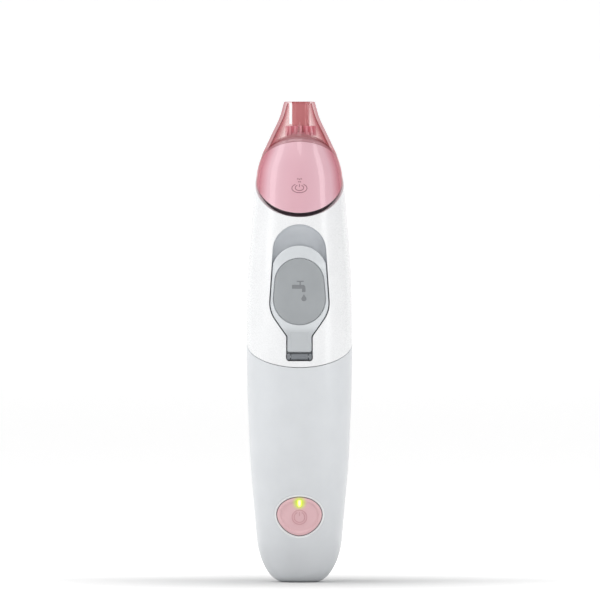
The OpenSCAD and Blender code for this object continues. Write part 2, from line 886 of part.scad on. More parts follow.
/* ---- Chassis, battery and electronics ---- */
battery_r = 7.1;
battery_h = 50;
battery_y = 5.5;
battery_z = 18;
cradle_r = battery_r + 0.2;
board_y = -5;
board_thick = 1.2;
board_half = 10;
board_low_z = 19;
board_top_z = 66;
chassis_low_z = 15.6;
chassis_top_z = motor_low_z;

module at_battery() translate([0, battery_y, 0]) children();

module chassis() {
    color(inner_plastic) difference() {
        union() {
            translate([-11.5, -3.4, chassis_low_z]) cube([23, 1.6, chassis_top_z - chassis_low_z]);
            intersection() {
                at_battery() translate([0, 0, chassis_low_z])
                    cylinder(r = cradle_r + 1.2, h = chassis_top_z - chassis_low_z, $fn = 64);
                translate([-20, -3.4, chassis_low_z]) cube([40, 3.4 + battery_y, 60]);
            }
            translate([0, 0, chassis_top_z - 1.4]) cylinder(r = 16.2, h = 1.4, $fn = 64);
        }
        at_battery() translate([0, 0, battery_z - 0.7])
            cylinder(r = cradle_r, h = battery_h + 1.4, $fn = 64);
        for (side = [-1, 1]) translate([side * 3.5 - 1.2, motor_y - 1.7, chassis_top_z - 3])
            cube([2.4, 3.5, 5]);
        translate([-20, -20, chassis_low_z + 3]) cube([40, 20 - 3.4, chassis_top_z - chassis_low_z - 4.4]);
    }
}

module battery() {
    color("#6d8f9e") at_battery() translate([0, 0, battery_z])
        cylinder(r = battery_r, h = battery_h - 0.8, $fn = 64);
    color(steel) at_battery() translate([0, 0, battery_z + battery_h - 0.9])
        cylinder(r = 2.6, h = 0.9, $fn = small);
}

module battery_tabs() {
    color(steel) at_battery() {
        translate([-3, -6.4, battery_z + battery_h + 0.05]) cube([6, 10, 0.25]);
        translate([-3, -6.4, battery_z - 0.35]) cube([6, 10, 0.25]);
    }
}

module control_board() {
    color("#2f6b4f") translate([-board_half, board_y - board_thick, board_low_z])
        cube([2 * board_half, board_thick, board_top_z - board_low_z]);
    color("#26282b") {
        translate([-4, board_y - board_thick - 1.4, 42]) cube([8, 1.5, 8]);
        translate([3.5, board_y - board_thick - 1, 55]) cube([4, 1.1, 4]);
        translate([-7.5, board_y - board_thick - 1.2, 56]) cube([5, 1.3, 5]);
    }
    color(brass) for (x = [-7.5, 7.5], z = [34:3:40])
        translate([x - 1, board_y - board_thick - 0.7, z]) cube([2, 0.8, 1.2]);
    color(inner_plastic) for (x = [-8, 8], z = [23, 62])
        bar_y(z, 1.1, 3.4, -board_y + 0.1, x, $fn = small);
}

switch_tip = 11.5;
face_y = board_thick - board_y;

module power_switch() {
    color("#3a3d42") translate([-3, -face_y - 3.4, power_z - 3.1]) cube([6, 3.4, 6]);
    color("#b7b9bd") bar_y(power_z, 1.7, face_y + 3.3, switch_tip, $fn = small);
}

led_z = power_z + 4.9;

module status_led() {
    color("#d8e8b0") {
        bar_y(led_z + 0.2, 1.3, face_y, face_y + 3, $fn = small);
        translate([0, -face_y - 3, led_z + 0.2]) sphere(r = 1.3, $fn = small);
    }
}

/* ---- Power button ---- */
power_out = 0.05;
power_in = 1.3;
stem_r = 1.7;

module power_button() {
    color(button_pink) difference() {
        union() {
            resize([0, 0, 0]) difference() {
                intersection() {
                    skin(power_out, power_in, 12, 36);
                    forward(6, 24) power_outline(0);
                }
                intersection() {
                    skin(power_out - 1, power_out + 0.35, 12, 36);
                    forward(6, 25) power_outline(1.2);
                }
                forward(6, 26) led_outline(0);
            }
            bar_y(power_z, stem_r, switch_tip + power_travel + 0.05, half_d(power_z) - power_in + 0.4, $fn = fine);
        }
    }
}

module led_outline(draw) {
    hull() for (side = [-1, 1]) translate([0, led_z + side * 0.6]) circle(r = 0.8 - draw, $fn = 24);
}

module led_lens() {
    color("#dcec6a") forward(12.6, half_d(led_z) - 0.2) led_outline(0.03);
}

module power_button_gasket() {
    color(rubber_grey) resize([0, 0, 0]) difference() {
        intersection() {
            skin(wall + 0.15, wall + 0.95, 12, 36);
            forward(6, 24) power_outline(-1.6);
        }
        bar_y(power_z, stem_r + 0.3, 6, 24, $fn = fine);
        forward(6, 26) led_outline(-0.3);
    }
}

/* ---- Charging socket ---- */
socket_out = socket_r + socket_wall;
flange_r = 7.4;

module charging_socket() {
    color(white) difference() {
        union() {
            cylinder(r = socket_out, h = socket_depth + 1, $fn = 64);
            translate([0, 0, floor_z + 0.95]) cylinder(r = flange_r, h = 1, $fn = 64);
            translate([0, 0, socket_depth]) cylinder(r = flange_r, h = 1, $fn = 64);
        }
        translate([0, 0, -1]) cylinder(r = socket_r, h = socket_depth + 1, $fn = 64);
    }
}

module charging_coil() {
    color("#b5673a") tube(flange_r - 0.3, socket_out + 0.02, floor_z + 2, socket_depth - 0.05, $fn = 64);
}

module socket_seal() {
    color(rubber_grey) o_ring(socket_out + 0.52, 0.45, floor_z + 0.47, $fn = fine);
}

/* ---- Wires ---- */
wire_r = 0.5;

module motor_wires() {
    color("#b5362f")
        rod([3.5, board_y - 2.2, board_top_z - 2], [3.5, motor_y - 0.9, motor_low_z - 0.2], wire_r, $fn = small);
    color("#26282b")
        rod([-3.5, board_y - 2.2, board_top_z - 2], [-3.5, motor_y - 0.9, motor_low_z - 0.2], wire_r, $fn = small);
}

module coil_wires() {
    color("#c98d4b") for (side = [-1, 1])
        rod([side * 4, -4.5, socket_depth + 1.2], [side * 4, board_y - 2, board_low_z + 1], wire_r - 0.1, $fn = small);
}

upper_housing();
lower_housing();
housing_seal();
head_frame();
outlet_spigot();
trigger_button();
trigger_pivot_pins();
trigger_switch();
switch_boot();
nozzle_shell();
jet_tube();
nozzle_collar();
nozzle_seal();
door_recess_liner();
reservoir_door();
door_pad();
door_plug();
door_hinge_pin();
reservoir_tank();
dip_tube();
mixing_manifold();
outlet_valve();
delivery_tube();
power_cylinder();
plunger();
plunger_o_ring();
power_spring();
follower_pin();
drive_gear();
gear_bushing();
motor_pinion();
motor_shaft();
motor();
lower_bearing_plate();
upper_bearing_plate();
frame_screws();
chassis();
battery();
battery_tabs();
control_board();
power_switch();
status_led();
power_button();
power_button_gasket();
led_lens();
charging_socket();
charging_coil();
socket_seal();
motor_wires();
coil_wires();
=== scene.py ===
import math

import bmesh
import bpy
import numpy as np
from mathutils import Matrix, Vector
from mathutils.geometry import delaunay_2d_cdt


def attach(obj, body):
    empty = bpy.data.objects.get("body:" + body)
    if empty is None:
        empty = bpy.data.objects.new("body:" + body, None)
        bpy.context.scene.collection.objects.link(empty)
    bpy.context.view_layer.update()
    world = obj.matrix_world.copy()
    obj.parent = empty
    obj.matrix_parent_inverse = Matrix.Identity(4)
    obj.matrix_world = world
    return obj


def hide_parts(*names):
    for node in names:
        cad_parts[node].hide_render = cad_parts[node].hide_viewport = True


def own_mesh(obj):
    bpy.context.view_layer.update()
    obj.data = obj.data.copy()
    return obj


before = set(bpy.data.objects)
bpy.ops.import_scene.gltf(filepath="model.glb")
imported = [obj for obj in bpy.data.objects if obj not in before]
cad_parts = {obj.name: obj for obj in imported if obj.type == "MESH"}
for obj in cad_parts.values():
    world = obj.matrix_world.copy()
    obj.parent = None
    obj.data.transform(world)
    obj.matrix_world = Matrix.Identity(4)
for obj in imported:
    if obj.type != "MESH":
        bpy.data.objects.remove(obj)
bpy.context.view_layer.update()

# ---- Lower housing ---------------------------------------------------------------------
# The lower half of the grip is one ABS cup, injection moulded in pale grey with its foot closed.
# It slides over the chassis from below and ends at the top in a tilted rim; the power button
# sits in an egg-shaped opening with a rolled edge.

MM = 0.001
GRIP_W = 38.58
GRIP_D = 40.98
NOZZLE_TOP = 174.8
NECK_R = 5.6
NECK_Y = 2.5
FOOT_H = 16.0
FOOT_IN = 8.3
WALL = 1.8

# Height, half width and half depth as shares of the grip's, and how far the section sits back
STATIONS = np.array([
    [0, 0.73, 0.69, 0],
    [24, 0.84, 0.83, 0],
    [48, 0.94, 0.93, 0],
    [88, 1, 1, 0],
    [114, 0.964, 0.995, 0.2],
    [136, 0.878, 0.917, 0.7],
    [146, 0.83, 0.82, 1.2],
    [153, 0.757, 0.722, 1.8],
    [162, 0.55, 0.537, 2.5],
    [169, 0.378, 0.371, 2.6],
    [NOZZLE_TOP, 2 * NECK_R / GRIP_W, 2 * NECK_R / GRIP_D, NECK_Y],
])
HEIGHTS = STATIONS[:, 0]
SHAPE = STATIONS[:, 1:]
before = np.maximum(np.arange(len(STATIONS)) - 1, 0)
after = np.minimum(np.arange(len(STATIONS)) + 1, len(STATIONS) - 1)
RATE = (SHAPE[after] - SHAPE[before]) / (HEIGHTS[after] - HEIGHTS[before])[:, None]


def form(z):
    """Half width, half depth and centre offset of the outer form at a height, in mm."""
    z = np.asarray(z, float)
    i = np.clip(np.searchsorted(HEIGHTS, z, side="right") - 1, 0, len(HEIGHTS) - 2)
    span = (HEIGHTS[i + 1] - HEIGHTS[i])[..., None]
    t = (z - HEIGHTS[i])[..., None] / span
    row = (
        (2 * t**3 - 3 * t**2 + 1) * SHAPE[i] + (t**3 - 2 * t**2 + t) * span * RATE[i]
        + (3 * t**2 - 2 * t**3) * SHAPE[i + 1] + (t**3 - t**2) * span * RATE[i + 1]
    )
    draw = FOOT_IN * (1 - np.sqrt(1 - (1 - np.clip(z, 0, FOOT_H) / FOOT_H) ** 2))
    return row[..., 0] * GRIP_W / 2 - draw, row[..., 1] * GRIP_D / 2 - draw, row[..., 2]


def on_form(angle, z, inset=0.0):
    """Points of the form at angles and heights, drawn in by an inset."""
    half_w, half_d, mid = form(z)
    return np.stack(np.broadcast_arrays(
        (half_w - inset) * np.cos(angle), mid + (half_d - inset) * np.sin(angle), z
    ), axis=-1).astype(float)


def on_front(xz, inset=0.0):
    """Points of the form's front at places given across and up."""
    half_w, half_d, mid = form(xz[:, 1])
    across = np.clip(xz[:, 0] / (half_w - inset), -1, 1)
    y = mid - (half_d - inset) * np.sqrt(1 - across**2)
    return np.column_stack([xz[:, 0], y, xz[:, 1]])


def cut_heights(angle, height, slope, inset=0.0):
    """Where a plane that crosses the axis at a height, and rises to the back by a slope, cuts the form."""
    z = np.full_like(angle, height)
    for _ in range(60):
        z = height + slope * on_form(angle, z, inset)[..., 1]
    return z


def add_loop(mesh, points):
    start = len(mesh["points"])
    mesh["points"].extend(np.asarray(points).tolist())
    return list(range(start, start + len(points)))


def bridge(mesh, low, high, closed=True):
    count = len(low)
    for i in range(count if closed else count - 1):
        j = (i + 1) % count
        mesh["faces"].append((low[i], low[j], high[j], high[i]))


def new_mesh():
    return {"points": [], "faces": []}


def piece(name, mesh, material, body, replaces=(), sharp=40):
    """A shown piece from a mesh in mm: welded, facing out, smooth but for its sharp edges."""
    data = bpy.data.meshes.new(name)
    data.from_pydata([tuple(c * MM for c in p) for p in mesh["points"]], [], mesh["faces"])
    work = bmesh.new()
    work.from_mesh(data)
    bmesh.ops.remove_doubles(work, verts=work.verts, dist=2e-6)
    bmesh.ops.dissolve_degenerate(work, edges=work.edges, dist=1e-6)
    bmesh.ops.recalc_face_normals(work, faces=work.faces)
    work.to_mesh(data)
    work.free()
    for face in data.polygons:
        face.use_smooth = True
    data.set_sharp_from_angle(angle=math.radians(sharp))
    data.materials.append(material)
    made = bpy.data.objects.new(name, data)
    bpy.context.scene.collection.objects.link(made)
    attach(made, body)
    if replaces:
        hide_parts(*replaces)
    return made


def shell(mesh, angles, rows, windows=(), wrap=True):
    """Rows of the form, each a height per column and an inset, joined round; returns each window's hole."""
    loops = [add_loop(mesh, on_form(angles, np.broadcast_to(z, angles.shape), inset)) for z, inset in rows]
    count = len(angles)
    holes = []
    skipped = set()
    for low, high, first, last, outline, inset, shares in windows:
        step = 1 if high > low else -1
        for row in range(min(low, high), max(low, high)):
            for column in range(first, last):
                skipped.add((row, column))
        edge = [loops[low][c] for c in range(first, last + 1)]
        edge += [loops[r][last] for r in range(low + step, high + step, step)]
        edge += [loops[high][c] for c in range(last - 1, first - 1, -1)]
        edge += [loops[r][first] for r in range(high - step, low, -step)]
        places = np.array([mesh["points"][i] for i in edge])[:, [0, 2]]
        target = outline(places)
        ring = edge
        for share in shares:
            here = add_loop(mesh, on_front(places * (1 - share) + target * share, inset))
            bridge(mesh, ring, here)
            ring = here
        holes.append((ring, places))
    for row in range(len(loops) if wrap else len(loops) - 1):
        low, high = loops[row], loops[(row + 1) % len(loops)]
        for column in range(count):
            if (row, column) not in skipped:
                j = (column + 1) % count
                mesh["faces"].append((low[column], low[j], high[j], high[column]))
    return holes


COLUMNS = 120
around = np.radians(90 + 360 * np.arange(COLUMNS) / COLUMNS)    # column 60 is the front
SEAM_Z, SEAM_SLOPE = 87.0, 0.43
POWER_Z, POWER_W, POWER_H = 24.2, 16.3, 13.9


def resample(points, count):
    """A closed outline as evenly spaced points."""
    points = np.vstack([points, points[:1]])
    run = np.concatenate([[0], np.cumsum(np.linalg.norm(np.diff(points, axis=0), axis=1))])
    at = np.linspace(0, run[-1], count, endpoint=False)
    return np.column_stack([np.interp(at, run, points[:, i]) for i in (0, 1)])


def drawn(outline, draw):
    """A closed anticlockwise outline moved inward by a draw."""
    along = np.roll(outline, -1, axis=0) - np.roll(outline, 1, axis=0)
    along /= np.linalg.norm(along, axis=1)[:, None]
    return outline + draw * np.column_stack([-along[:, 1], along[:, 0]])


turns = np.linspace(0, 2 * math.pi, 720, endpoint=False)
circle = np.column_stack([np.cos(turns), np.sin(turns)])
POWER_POINT = 1.11                     # above 1, the lower half comes to a blunt point
squeeze = np.where(turns < math.pi, 1, POWER_POINT)
reach = np.where(turns < math.pi, POWER_H / 2 - 0.6, POWER_H / 2 + 0.6)[:, None]
button_outline = resample(np.sign(circle) * abs(circle) ** squeeze[:, None] * np.column_stack([
    np.full(720, POWER_W / 2), reach]) + [0, POWER_Z + 0.6], 150)


def egg(places, grow=0.0):
    """The power button's outline, met along the ray from its centre through each place."""
    edge = drawn(button_outline, -grow) - [0, POWER_Z]
    order = np.argsort(np.arctan2(edge[:, 1], edge[:, 0]))
    edge = edge[order]
    ray = places - [0, POWER_Z]
    turn = np.arctan2(ray[:, 1], ray[:, 0])
    edge_turn = np.arctan2(edge[:, 1], edge[:, 0])
    radius = np.interp(turn, edge_turn, np.linalg.norm(edge, axis=1), period=2 * math.pi)
    return [0, POWER_Z] + radius[:, None] * np.column_stack([np.cos(turn), np.sin(turn)])


def rim(z, inset, away, radius=0.22):
    """Rows that round a rim's two edges, from one side of the wall to the other."""
    turns = np.radians([0, 30, 60, 90])
    inward = math.copysign(radius, inset[1] - inset[0])
    height = [z - away * radius * (1 - math.sin(t)) for t in turns]
    bend = [inward * (1 - math.cos(t)) for t in turns]
    out = [(h, inset[0] + b) for h, b in zip(height, bend)]
    back = [(h, inset[1] - b) for h, b in zip(height[::-1], bend[::-1])]
    return out + back


FLOOR_Z = 2.0
SOCKET_HOLE = 4.85
foot_z = FOOT_H * (1 - np.cos(np.radians(np.arange(0, 91, 6))))
body_z = np.arange(17.5, 61, 1.5)
lower_top = cut_heights(around, SEAM_Z - 0.1, SEAM_SLOPE)
climb = np.array([0.06 * i for i in range(1, 17)] + [0.985])
lower_outer = [(0.0, form(0.0)[0] - SOCKET_HOLE)] + [(z, 0.0) for z in foot_z] + [(z, 0.0) for z in body_z]
lower_outer += [(body_z[-1] + (lower_top - body_z[-1]) * v, 0.0) for v in climb]
lower_inner = [(body_z[-1] + (lower_top - body_z[-1]) * v, WALL) for v in climb[::-1]]
lower_inner += [(z, WALL) for z in body_z[::-1]] + [(z, WALL) for z in foot_z[:6:-1]]
lower_inner += [(FLOOR_Z, WALL), (FLOOR_Z, form(FLOOR_Z)[0] - SOCKET_HOLE)]
lower_rows = lower_outer + rim(lower_top, (0, WALL), 1) + lower_inner
outer_low = 1 + int(np.argmin(abs(foot_z - 12.5)))
outer_high = 1 + len(foot_z) + int(np.argmin(abs(body_z - 36.5)))
inner_heights = [float(np.mean(z)) for z, _ in lower_inner]
inner_start = len(lower_rows) - len(lower_inner)
inner_low = inner_start + int(np.argmin([abs(z - 12.5) for z in inner_heights]))
inner_high = inner_start + int(np.argmin([abs(z - 36.5) for z in inner_heights]))
ROLL = 0.95
HOLE_GAP = 0.2
shares = [0.25, 0.5, 0.7, 0.85, 0.95, 1]
lower_mesh = new_mesh()
(outer_hole, outer_places), (inner_hole, _) = shell(
    lower_mesh, around, lower_rows,
    [
        (outer_low, outer_high, 44, 76, lambda p: egg(p, HOLE_GAP + ROLL), 0.0, shares),
        (inner_low, inner_high, 44, 76, lambda p: egg(p, HOLE_GAP), WALL, shares),
    ],
)
ring = outer_hole
for share, deep in ((0.9, 0.06), (0.75, 0.14), (0.5, 0.27), (0.25, 0.40), (0.08, 0.5), (0, 0.65)):
    here = add_loop(lower_mesh, on_front(egg(outer_places, HOLE_GAP + ROLL * share), deep))
    bridge(lower_mesh, ring, here)
    ring = here
bridge(lower_mesh, ring, inner_hole)


def linear(code):
    """The linear colour of an sRGB hex code such as #d8dcdf."""
    parts = [int(code[i:i + 2], 16) / 255 for i in (1, 3, 5)]
    return tuple(c / 12.92 if c <= 0.04045 else ((c + 0.055) / 1.055) ** 2.4 for c in parts) + (1.0,)


def add(tree, kind, inputs=None, links=None, **settings):
    """One node, with its settings, its constant inputs and its links."""
    node = tree.nodes.new(kind)
    for key, value in settings.items():
        setattr(node, key, value)
    for key, value in (inputs or {}).items():
        node.inputs[key].default_value = value
    for key, source in (links or {}).items():
        tree.links.new(source, node.inputs[key])
    return node


def finish_material(name, **inputs):
    """A new material with one Principled shader; returns the material, its tree and the shader."""
    made = bpy.data.materials.new(name)
    made.use_nodes = True
    tree = made.node_tree
    shader = tree.nodes["Principled BSDF"]
    for key, value in inputs.items():
        shader.inputs[key.replace("_", " ")].default_value = value
    return made, tree, shader


def ramp(tree, source, stops):
    """A colour ramp from (place, sRGB hex) stops."""
    node = add(tree, "ShaderNodeValToRGB", links={"Fac": source})
    points = node.color_ramp.elements
    while len(points) < len(stops):
        points.new(0.5)
    for point, (place, code) in zip(points, stops):
        point.position = place
        point.color = linear(code)
    return node.outputs["Color"]


def moulded(name, light, dark, roughness, grain_mm=0.35, bump_mm=0.004, coat=0.0,
            subsurface=0.0, cloud_mm=9):
    """Injection-moulded plastic: a faint cloud in the colour, and the spark-eroded grain of the tool."""
    made, tree, shader = finish_material(
        name, IOR=1.53, Coat_Weight=coat, Coat_Roughness=0.08, Subsurface_Weight=subsurface,
        Subsurface_Scale=0.0008)
    place = add(tree, "ShaderNodeTexCoord").outputs["Object"]
    cloud = add(tree, "ShaderNodeTexNoise", {"Scale": 1000 / cloud_mm, "Detail": 3.0}, {"Vector": place})
    colour = ramp(tree, cloud.outputs["Fac"], [(0.3, dark), (0.7, light)])
    grain = add(tree, "ShaderNodeTexNoise", {"Scale": 1000 / grain_mm, "Detail": 4.0}, {"Vector": place})
    gloss = add(tree, "ShaderNodeMapRange", {"To Min": roughness - 0.03, "To Max": roughness + 0.04},
                {"Value": grain.outputs["Fac"]})
    bump = add(tree, "ShaderNodeBump", {"Strength": 0.25, "Distance": bump_mm * MM},
               {"Height": grain.outputs["Fac"]})
    tree.links.new(colour, shader.inputs["Base Color"])
    tree.links.new(gloss.outputs["Result"], shader.inputs["Roughness"])
    tree.links.new(bump.outputs["Normal"], shader.inputs["Normal"])
    return made


# Satin ABS: the sheen of a fine spark-eroded tool, so lights show as soft vertical bands
grey_abs = moulded("satin_abs_pale_grey", "#dde0e3", "#d9dcdf", 0.3, coat=0.25)
piece("lower_housing_skin", lower_mesh, grey_abs, "handle", ["lower_housing"])

bezel = new_mesh()
BEZEL = [(0.98, 0.16), (0.93, 0.05), (0.82, 0.02), (0.6, 0.1), (0.34, 0.22), (0.26, 0.32), (0.26, 0.9),
         (0.98, 0.9)]
loops = [add_loop(bezel, on_front(egg(outer_places, grow), inset)) for grow, inset in BEZEL]
for low, high in zip(loops, loops[1:] + loops[:1]):
    bridge(bezel, low, high)
# The bezel ring is white so that the opening's rolled edge reads lit all round: painted highlight.
rim_highlight_white = moulded("painted_highlight_white_rim", "#f2f4f5", "#eff1f2", 0.25, coat=0.3)
piece("power_button_bezel", bezel, rim_highlight_white, "handle")

# ---- Upper housing ---------------------------------------------------------------------
# The upper half of the grip is a white ABS sleeve with the same satin sheen. Its lower rim meets
# the lower housing in a hairline seam; the front holds the opening for the water door, and rows
# of small raised dots down both sides give the fingers a hold.

BUTTON_Z, BUTTON_SLOPE = 144.7, 0.64
RIM_Z, RIM_SLOPE = 156.8, 0.6
RECESS_R, RECESS_MID_Z = 10.9, 101.8
RECESS_TOP_R, RECESS_TOP_Z = 9.6, 120.6
STRAP_HALF, STRAP_LOW_Z, STRAP_ARC_Z = 4.75, 80.6, 91.0
STRAP_CORNER = 1.0


def hull_half(z, low_r, low_z, high_r, high_z):
    """Half width, at a height, of the outline stretched round two circles."""
    apart = high_z - low_z
    lean = (low_r - high_r) / apart
    low_touch, high_touch = low_z + low_r * lean, high_z + high_r * lean
    level = math.sqrt(1 - lean**2)
    low_side = np.sqrt(np.clip(low_r**2 - (z - low_z) ** 2, 0, None))
    high_side = np.sqrt(np.clip(high_r**2 - (z - high_z) ** 2, 0, None))
    share = np.clip((z - low_touch) / (high_touch - low_touch), 0, 1)
    line = (low_r + (high_r - low_r) * share) * level
    return np.where(z < low_touch, low_side, np.where(z > high_touch, high_side, line))


def recess_half(z, draw=0.0):
    """Half width of the recess at a height: the egg, its taper and the strap, with the corner eased."""
    z = np.asarray(z, float)
    egg_half = hull_half(z, RECESS_R - draw, RECESS_MID_Z, RECESS_TOP_R - draw, RECESS_TOP_Z)
    taper = hull_half(z, STRAP_HALF - draw, STRAP_ARC_Z, RECESS_R - draw, RECESS_MID_Z)
    strap = STRAP_HALF - draw
    wide = np.maximum(egg_half, taper)
    ease = 1.1
    gap = wide - strap
    return strap + (gap + np.sqrt(gap**2 + ease**2)) / 2 - ease / 2 * np.exp(-np.abs(gap))


def recess_points(parts, draw=0.0, low_z=STRAP_LOW_Z):
    """The recess's outline sampled by (side, share) pairs, so that every loop of it matches."""
    found = []
    soft = max(STRAP_CORNER - draw, 0.15)
    for side, share in parts:
        if side == "bottom":
            across = (STRAP_HALF - draw - soft) * (2 * share - 1)
            found.append((across, low_z + draw))
        elif side == "top":
            turn = math.radians(45 + 90 * share)
            found.append(((RECESS_TOP_R - draw) * math.cos(turn),
                          RECESS_TOP_Z + (RECESS_TOP_R - draw) * math.sin(turn)))
        else:
            top = RECESS_TOP_Z + (RECESS_TOP_R - draw) * math.sin(math.radians(45))
            z = low_z + draw + (top - low_z - draw) * share
            half = float(recess_half(z, draw))
            short = soft - (z - low_z - draw)
            if short > 0:
                half = STRAP_HALF - draw - soft + math.sqrt(soft**2 - short**2)
            found.append((half if side == "right" else -half, z))
    return np.array(found)


upper_low = cut_heights(around, SEAM_Z + 0.1, SEAM_SLOPE)
upper_high = np.minimum(cut_heights(around, BUTTON_Z, BUTTON_SLOPE), cut_heights(around, RIM_Z, -RIM_SLOPE))
steps = np.concatenate([[0.012], np.linspace(0.025, 0.975, 60), [0.988]])
upper_outer = [(upper_low + (upper_high - upper_low) * v, 0.0) for v in steps]
upper_inner = [(upper_low + (upper_high - upper_low) * v, WALL) for v in steps[::-1]]
upper_rows = rim(upper_low, (WALL, 0), -1)
first_outer = len(upper_rows)
upper_rows += upper_outer + rim(upper_high, (0, WALL), 1)
first_inner = len(upper_rows)
upper_rows += upper_inner
WINDOW = (42, 78)
window_columns = WINDOW[1] - WINDOW[0]
window_rows = len(steps) - 1
parts = [("bottom", i / window_columns) for i in range(window_columns + 1)]
side_z = np.array([float(np.mean(upper_outer[r][0][WINDOW[0]])) for r in range(len(steps))])
side_share = (side_z - side_z[0]) / (side_z[-1] - side_z[0])
side_share[:7] = [0, 0.002, 0.006, 0.012, 0.019, 0.03, 0.045]
side_share[7:] = 0.045 + (1 - 0.045) * np.linspace(0, 1, len(side_share) - 6)[1:]
parts += [("right", side_share[i]) for i in range(1, window_rows + 1)]
parts += [("top", i / window_columns) for i in range(1, window_columns + 1)]
parts += [("left", side_share[i]) for i in range(window_rows - 1, 0, -1)]
EDGE_ROLL = 0.25
shares = [0.2, 0.4, 0.6, 0.78, 0.9, 0.97, 1]
upper_mesh = new_mesh()
(outer_hole, _), (inner_hole, _) = shell(
    upper_mesh, around, upper_rows,
    [
        (first_outer, first_outer + window_rows, *WINDOW,
         lambda p: recess_points(parts, -EDGE_ROLL), 0.0, shares),
        (first_inner + window_rows, first_inner, *WINDOW,
         lambda p: recess_points(parts, 0.0), WALL, shares),
    ],
)
ring = outer_hole
for turn in np.radians([22.5, 45, 67.5, 90]):
    here = add_loop(upper_mesh, on_front(
        recess_points(parts, -EDGE_ROLL * (1 - math.sin(turn))), EDGE_ROLL * (1 - math.cos(turn))))
    bridge(upper_mesh, ring, here)
    ring = here
bridge(upper_mesh, ring, inner_hole)
white_abs = moulded("satin_abs_white", "#f4f5f6", "#f1f2f3", 0.27, coat=0.3)
piece("upper_housing_skin", upper_mesh, white_abs, "handle", ["upper_housing"])

DOT_PITCH, DOT_R, DOT_SUNK = 4.85, 0.34, 0.1
DOT_FLATNESS = 0.62
DOT_TOP_Z = 126.6
DOT_COLUMNS = [(36, 8), (28, 8), (20, 7), (12, 7)]    # degrees in from the side, and how many dots
dots = new_mesh()


def add_dot(mesh, angle, z):
    """A low round bump on the skin."""
    centre = on_form(np.array(angle), np.array(z))
    half_w, half_d, mid = form(z)
    out = np.array([math.cos(angle) / half_w, math.sin(angle) / half_d, 0.0])
    out /= np.linalg.norm(out)
    side = np.cross(out, [0, 0, 1])
    turns = np.radians(np.arange(0, 360, 30))
    ring = None
    for tilt in np.radians([-12, 18, 42, 66]):
        flat = [math.cos(t) * side + math.sin(t) * np.array([0, 0, 1]) for t in turns]
        rise = DOT_FLATNESS * math.sin(tilt) * out
        here = add_loop(mesh, [centre - DOT_SUNK * out + DOT_R * (math.cos(tilt) * f + rise) for f in flat])
        if ring:
            bridge(mesh, ring, here)
        ring = here
    mesh["faces"].append(tuple(ring))


for side in (-1, 1):
    for column, (degrees, rows) in enumerate(DOT_COLUMNS):
        for row in range(rows):
            z = DOT_TOP_Z - DOT_PITCH * row - (DOT_PITCH / 2 if column % 2 else 0)
            add_dot(dots, math.radians(-90 + side * (90 - degrees)), z)
piece("grip_dots", dots, white_abs, "handle")

# ---- Water door recess -------------------------------------------------------------------
# A grey ABS tray glued into the opening: a deep finger scoop above the door, a floor under it
# with the filling port, and two ears at the foot that hold the hinge pin.


def inside(places, outline):
    """Which places lie inside an outline."""
    x, z = places[:, :1], places[:, 1:]
    ax, az = outline[:, 0], outline[:, 1]
    bx, bz = np.roll(ax, -1), np.roll(az, -1)
    crosses = ((az > z) != (bz > z)) & (x < (bx - ax) * (z - az) / np.where(bz == az, 1, bz - az) + ax)
    return crosses.sum(axis=1) % 2 == 1


def fill(mesh, rings, inset, step=1.4):
    """Covers the area inside the first ring, and outside any others, with faces that follow the form."""
    places = [np.array([mesh["points"][i] for i in ring])[:, [0, 2]] for ring in rings]
    low, high = places[0].min(axis=0), places[0].max(axis=0)
    grid = np.stack(np.meshgrid(np.arange(low[0], high[0], step), np.arange(low[1], high[1], step)), -1)
    grid = grid.reshape(-1, 2)
    keep = inside(grid, places[0])
    for hole in places[1:]:
        keep &= ~inside(grid, hole)
    edge = np.vstack(places)
    keep &= np.min(np.linalg.norm(grid[:, None] - edge[None], axis=2), axis=1) > 0.45 * step
    grid = grid[keep]
    known = [i for ring in rings for i in ring] + add_loop(mesh, on_front(grid, inset))
    sides, start = [], 0
    for ring in rings:
        sides += [(start + i, start + (i + 1) % len(ring)) for i in range(len(ring))]
        start += len(ring)
    found = delaunay_2d_cdt([Vector(p) for p in np.vstack([edge, grid])], sides, [], 0, 1e-5)
    centres = np.array([np.mean([found[0][i] for i in face], axis=0) for face in found[2]])
    wanted = inside(centres, places[0])
    for hole in places[1:]:
        wanted &= ~inside(centres, hole)
    corner = [known[of[0]] if of else add_loop(mesh, on_front(np.array([place]), inset))[0]
              for place, of in zip(found[0], found[3])]
    for face, use in zip(found[2], wanted):
        if use:
            mesh["faces"].append(tuple(corner[i] for i in face))


def plate(mesh, outline, profile, open_back=False, holes=()):
    """A plate that follows the form: loops of (draw, inset) from its front face round to its back face."""
    rings = [add_loop(mesh, on_front(drawn(outline, draw), inset)) for draw, inset in profile]
    for low, high in zip(rings, rings[1:]):
        bridge(mesh, low, high)
    fill(mesh, [rings[0], *holes], profile[0][1])
    if not open_back:
        fill(mesh, [rings[-1]], profile[-1][1])
    return rings


def rounded(radius, draw=0.0, inset=0.0, count=4):
    """Profile steps that round a front edge."""
    turns = np.linspace(0, math.pi / 2, count + 1)
    return [(draw + radius * (1 - math.sin(t)), inset + radius * (1 - math.cos(t))) for t in turns]


def drilled(made, start, end, radius):
    """Drills a round hole through a piece, from one point to another in mm, and applies it."""
    start, end = Vector(start) * MM, Vector(end) * MM
    work = bmesh.new()
    turn = (end - start).to_track_quat("Z", "Y").to_matrix().to_4x4()
    bmesh.ops.create_cone(work, cap_ends=True, segments=64, radius1=radius * MM, radius2=radius * MM,
                          depth=(end - start).length, matrix=Matrix.Translation((start + end) / 2) @ turn)
    cut(made, work)


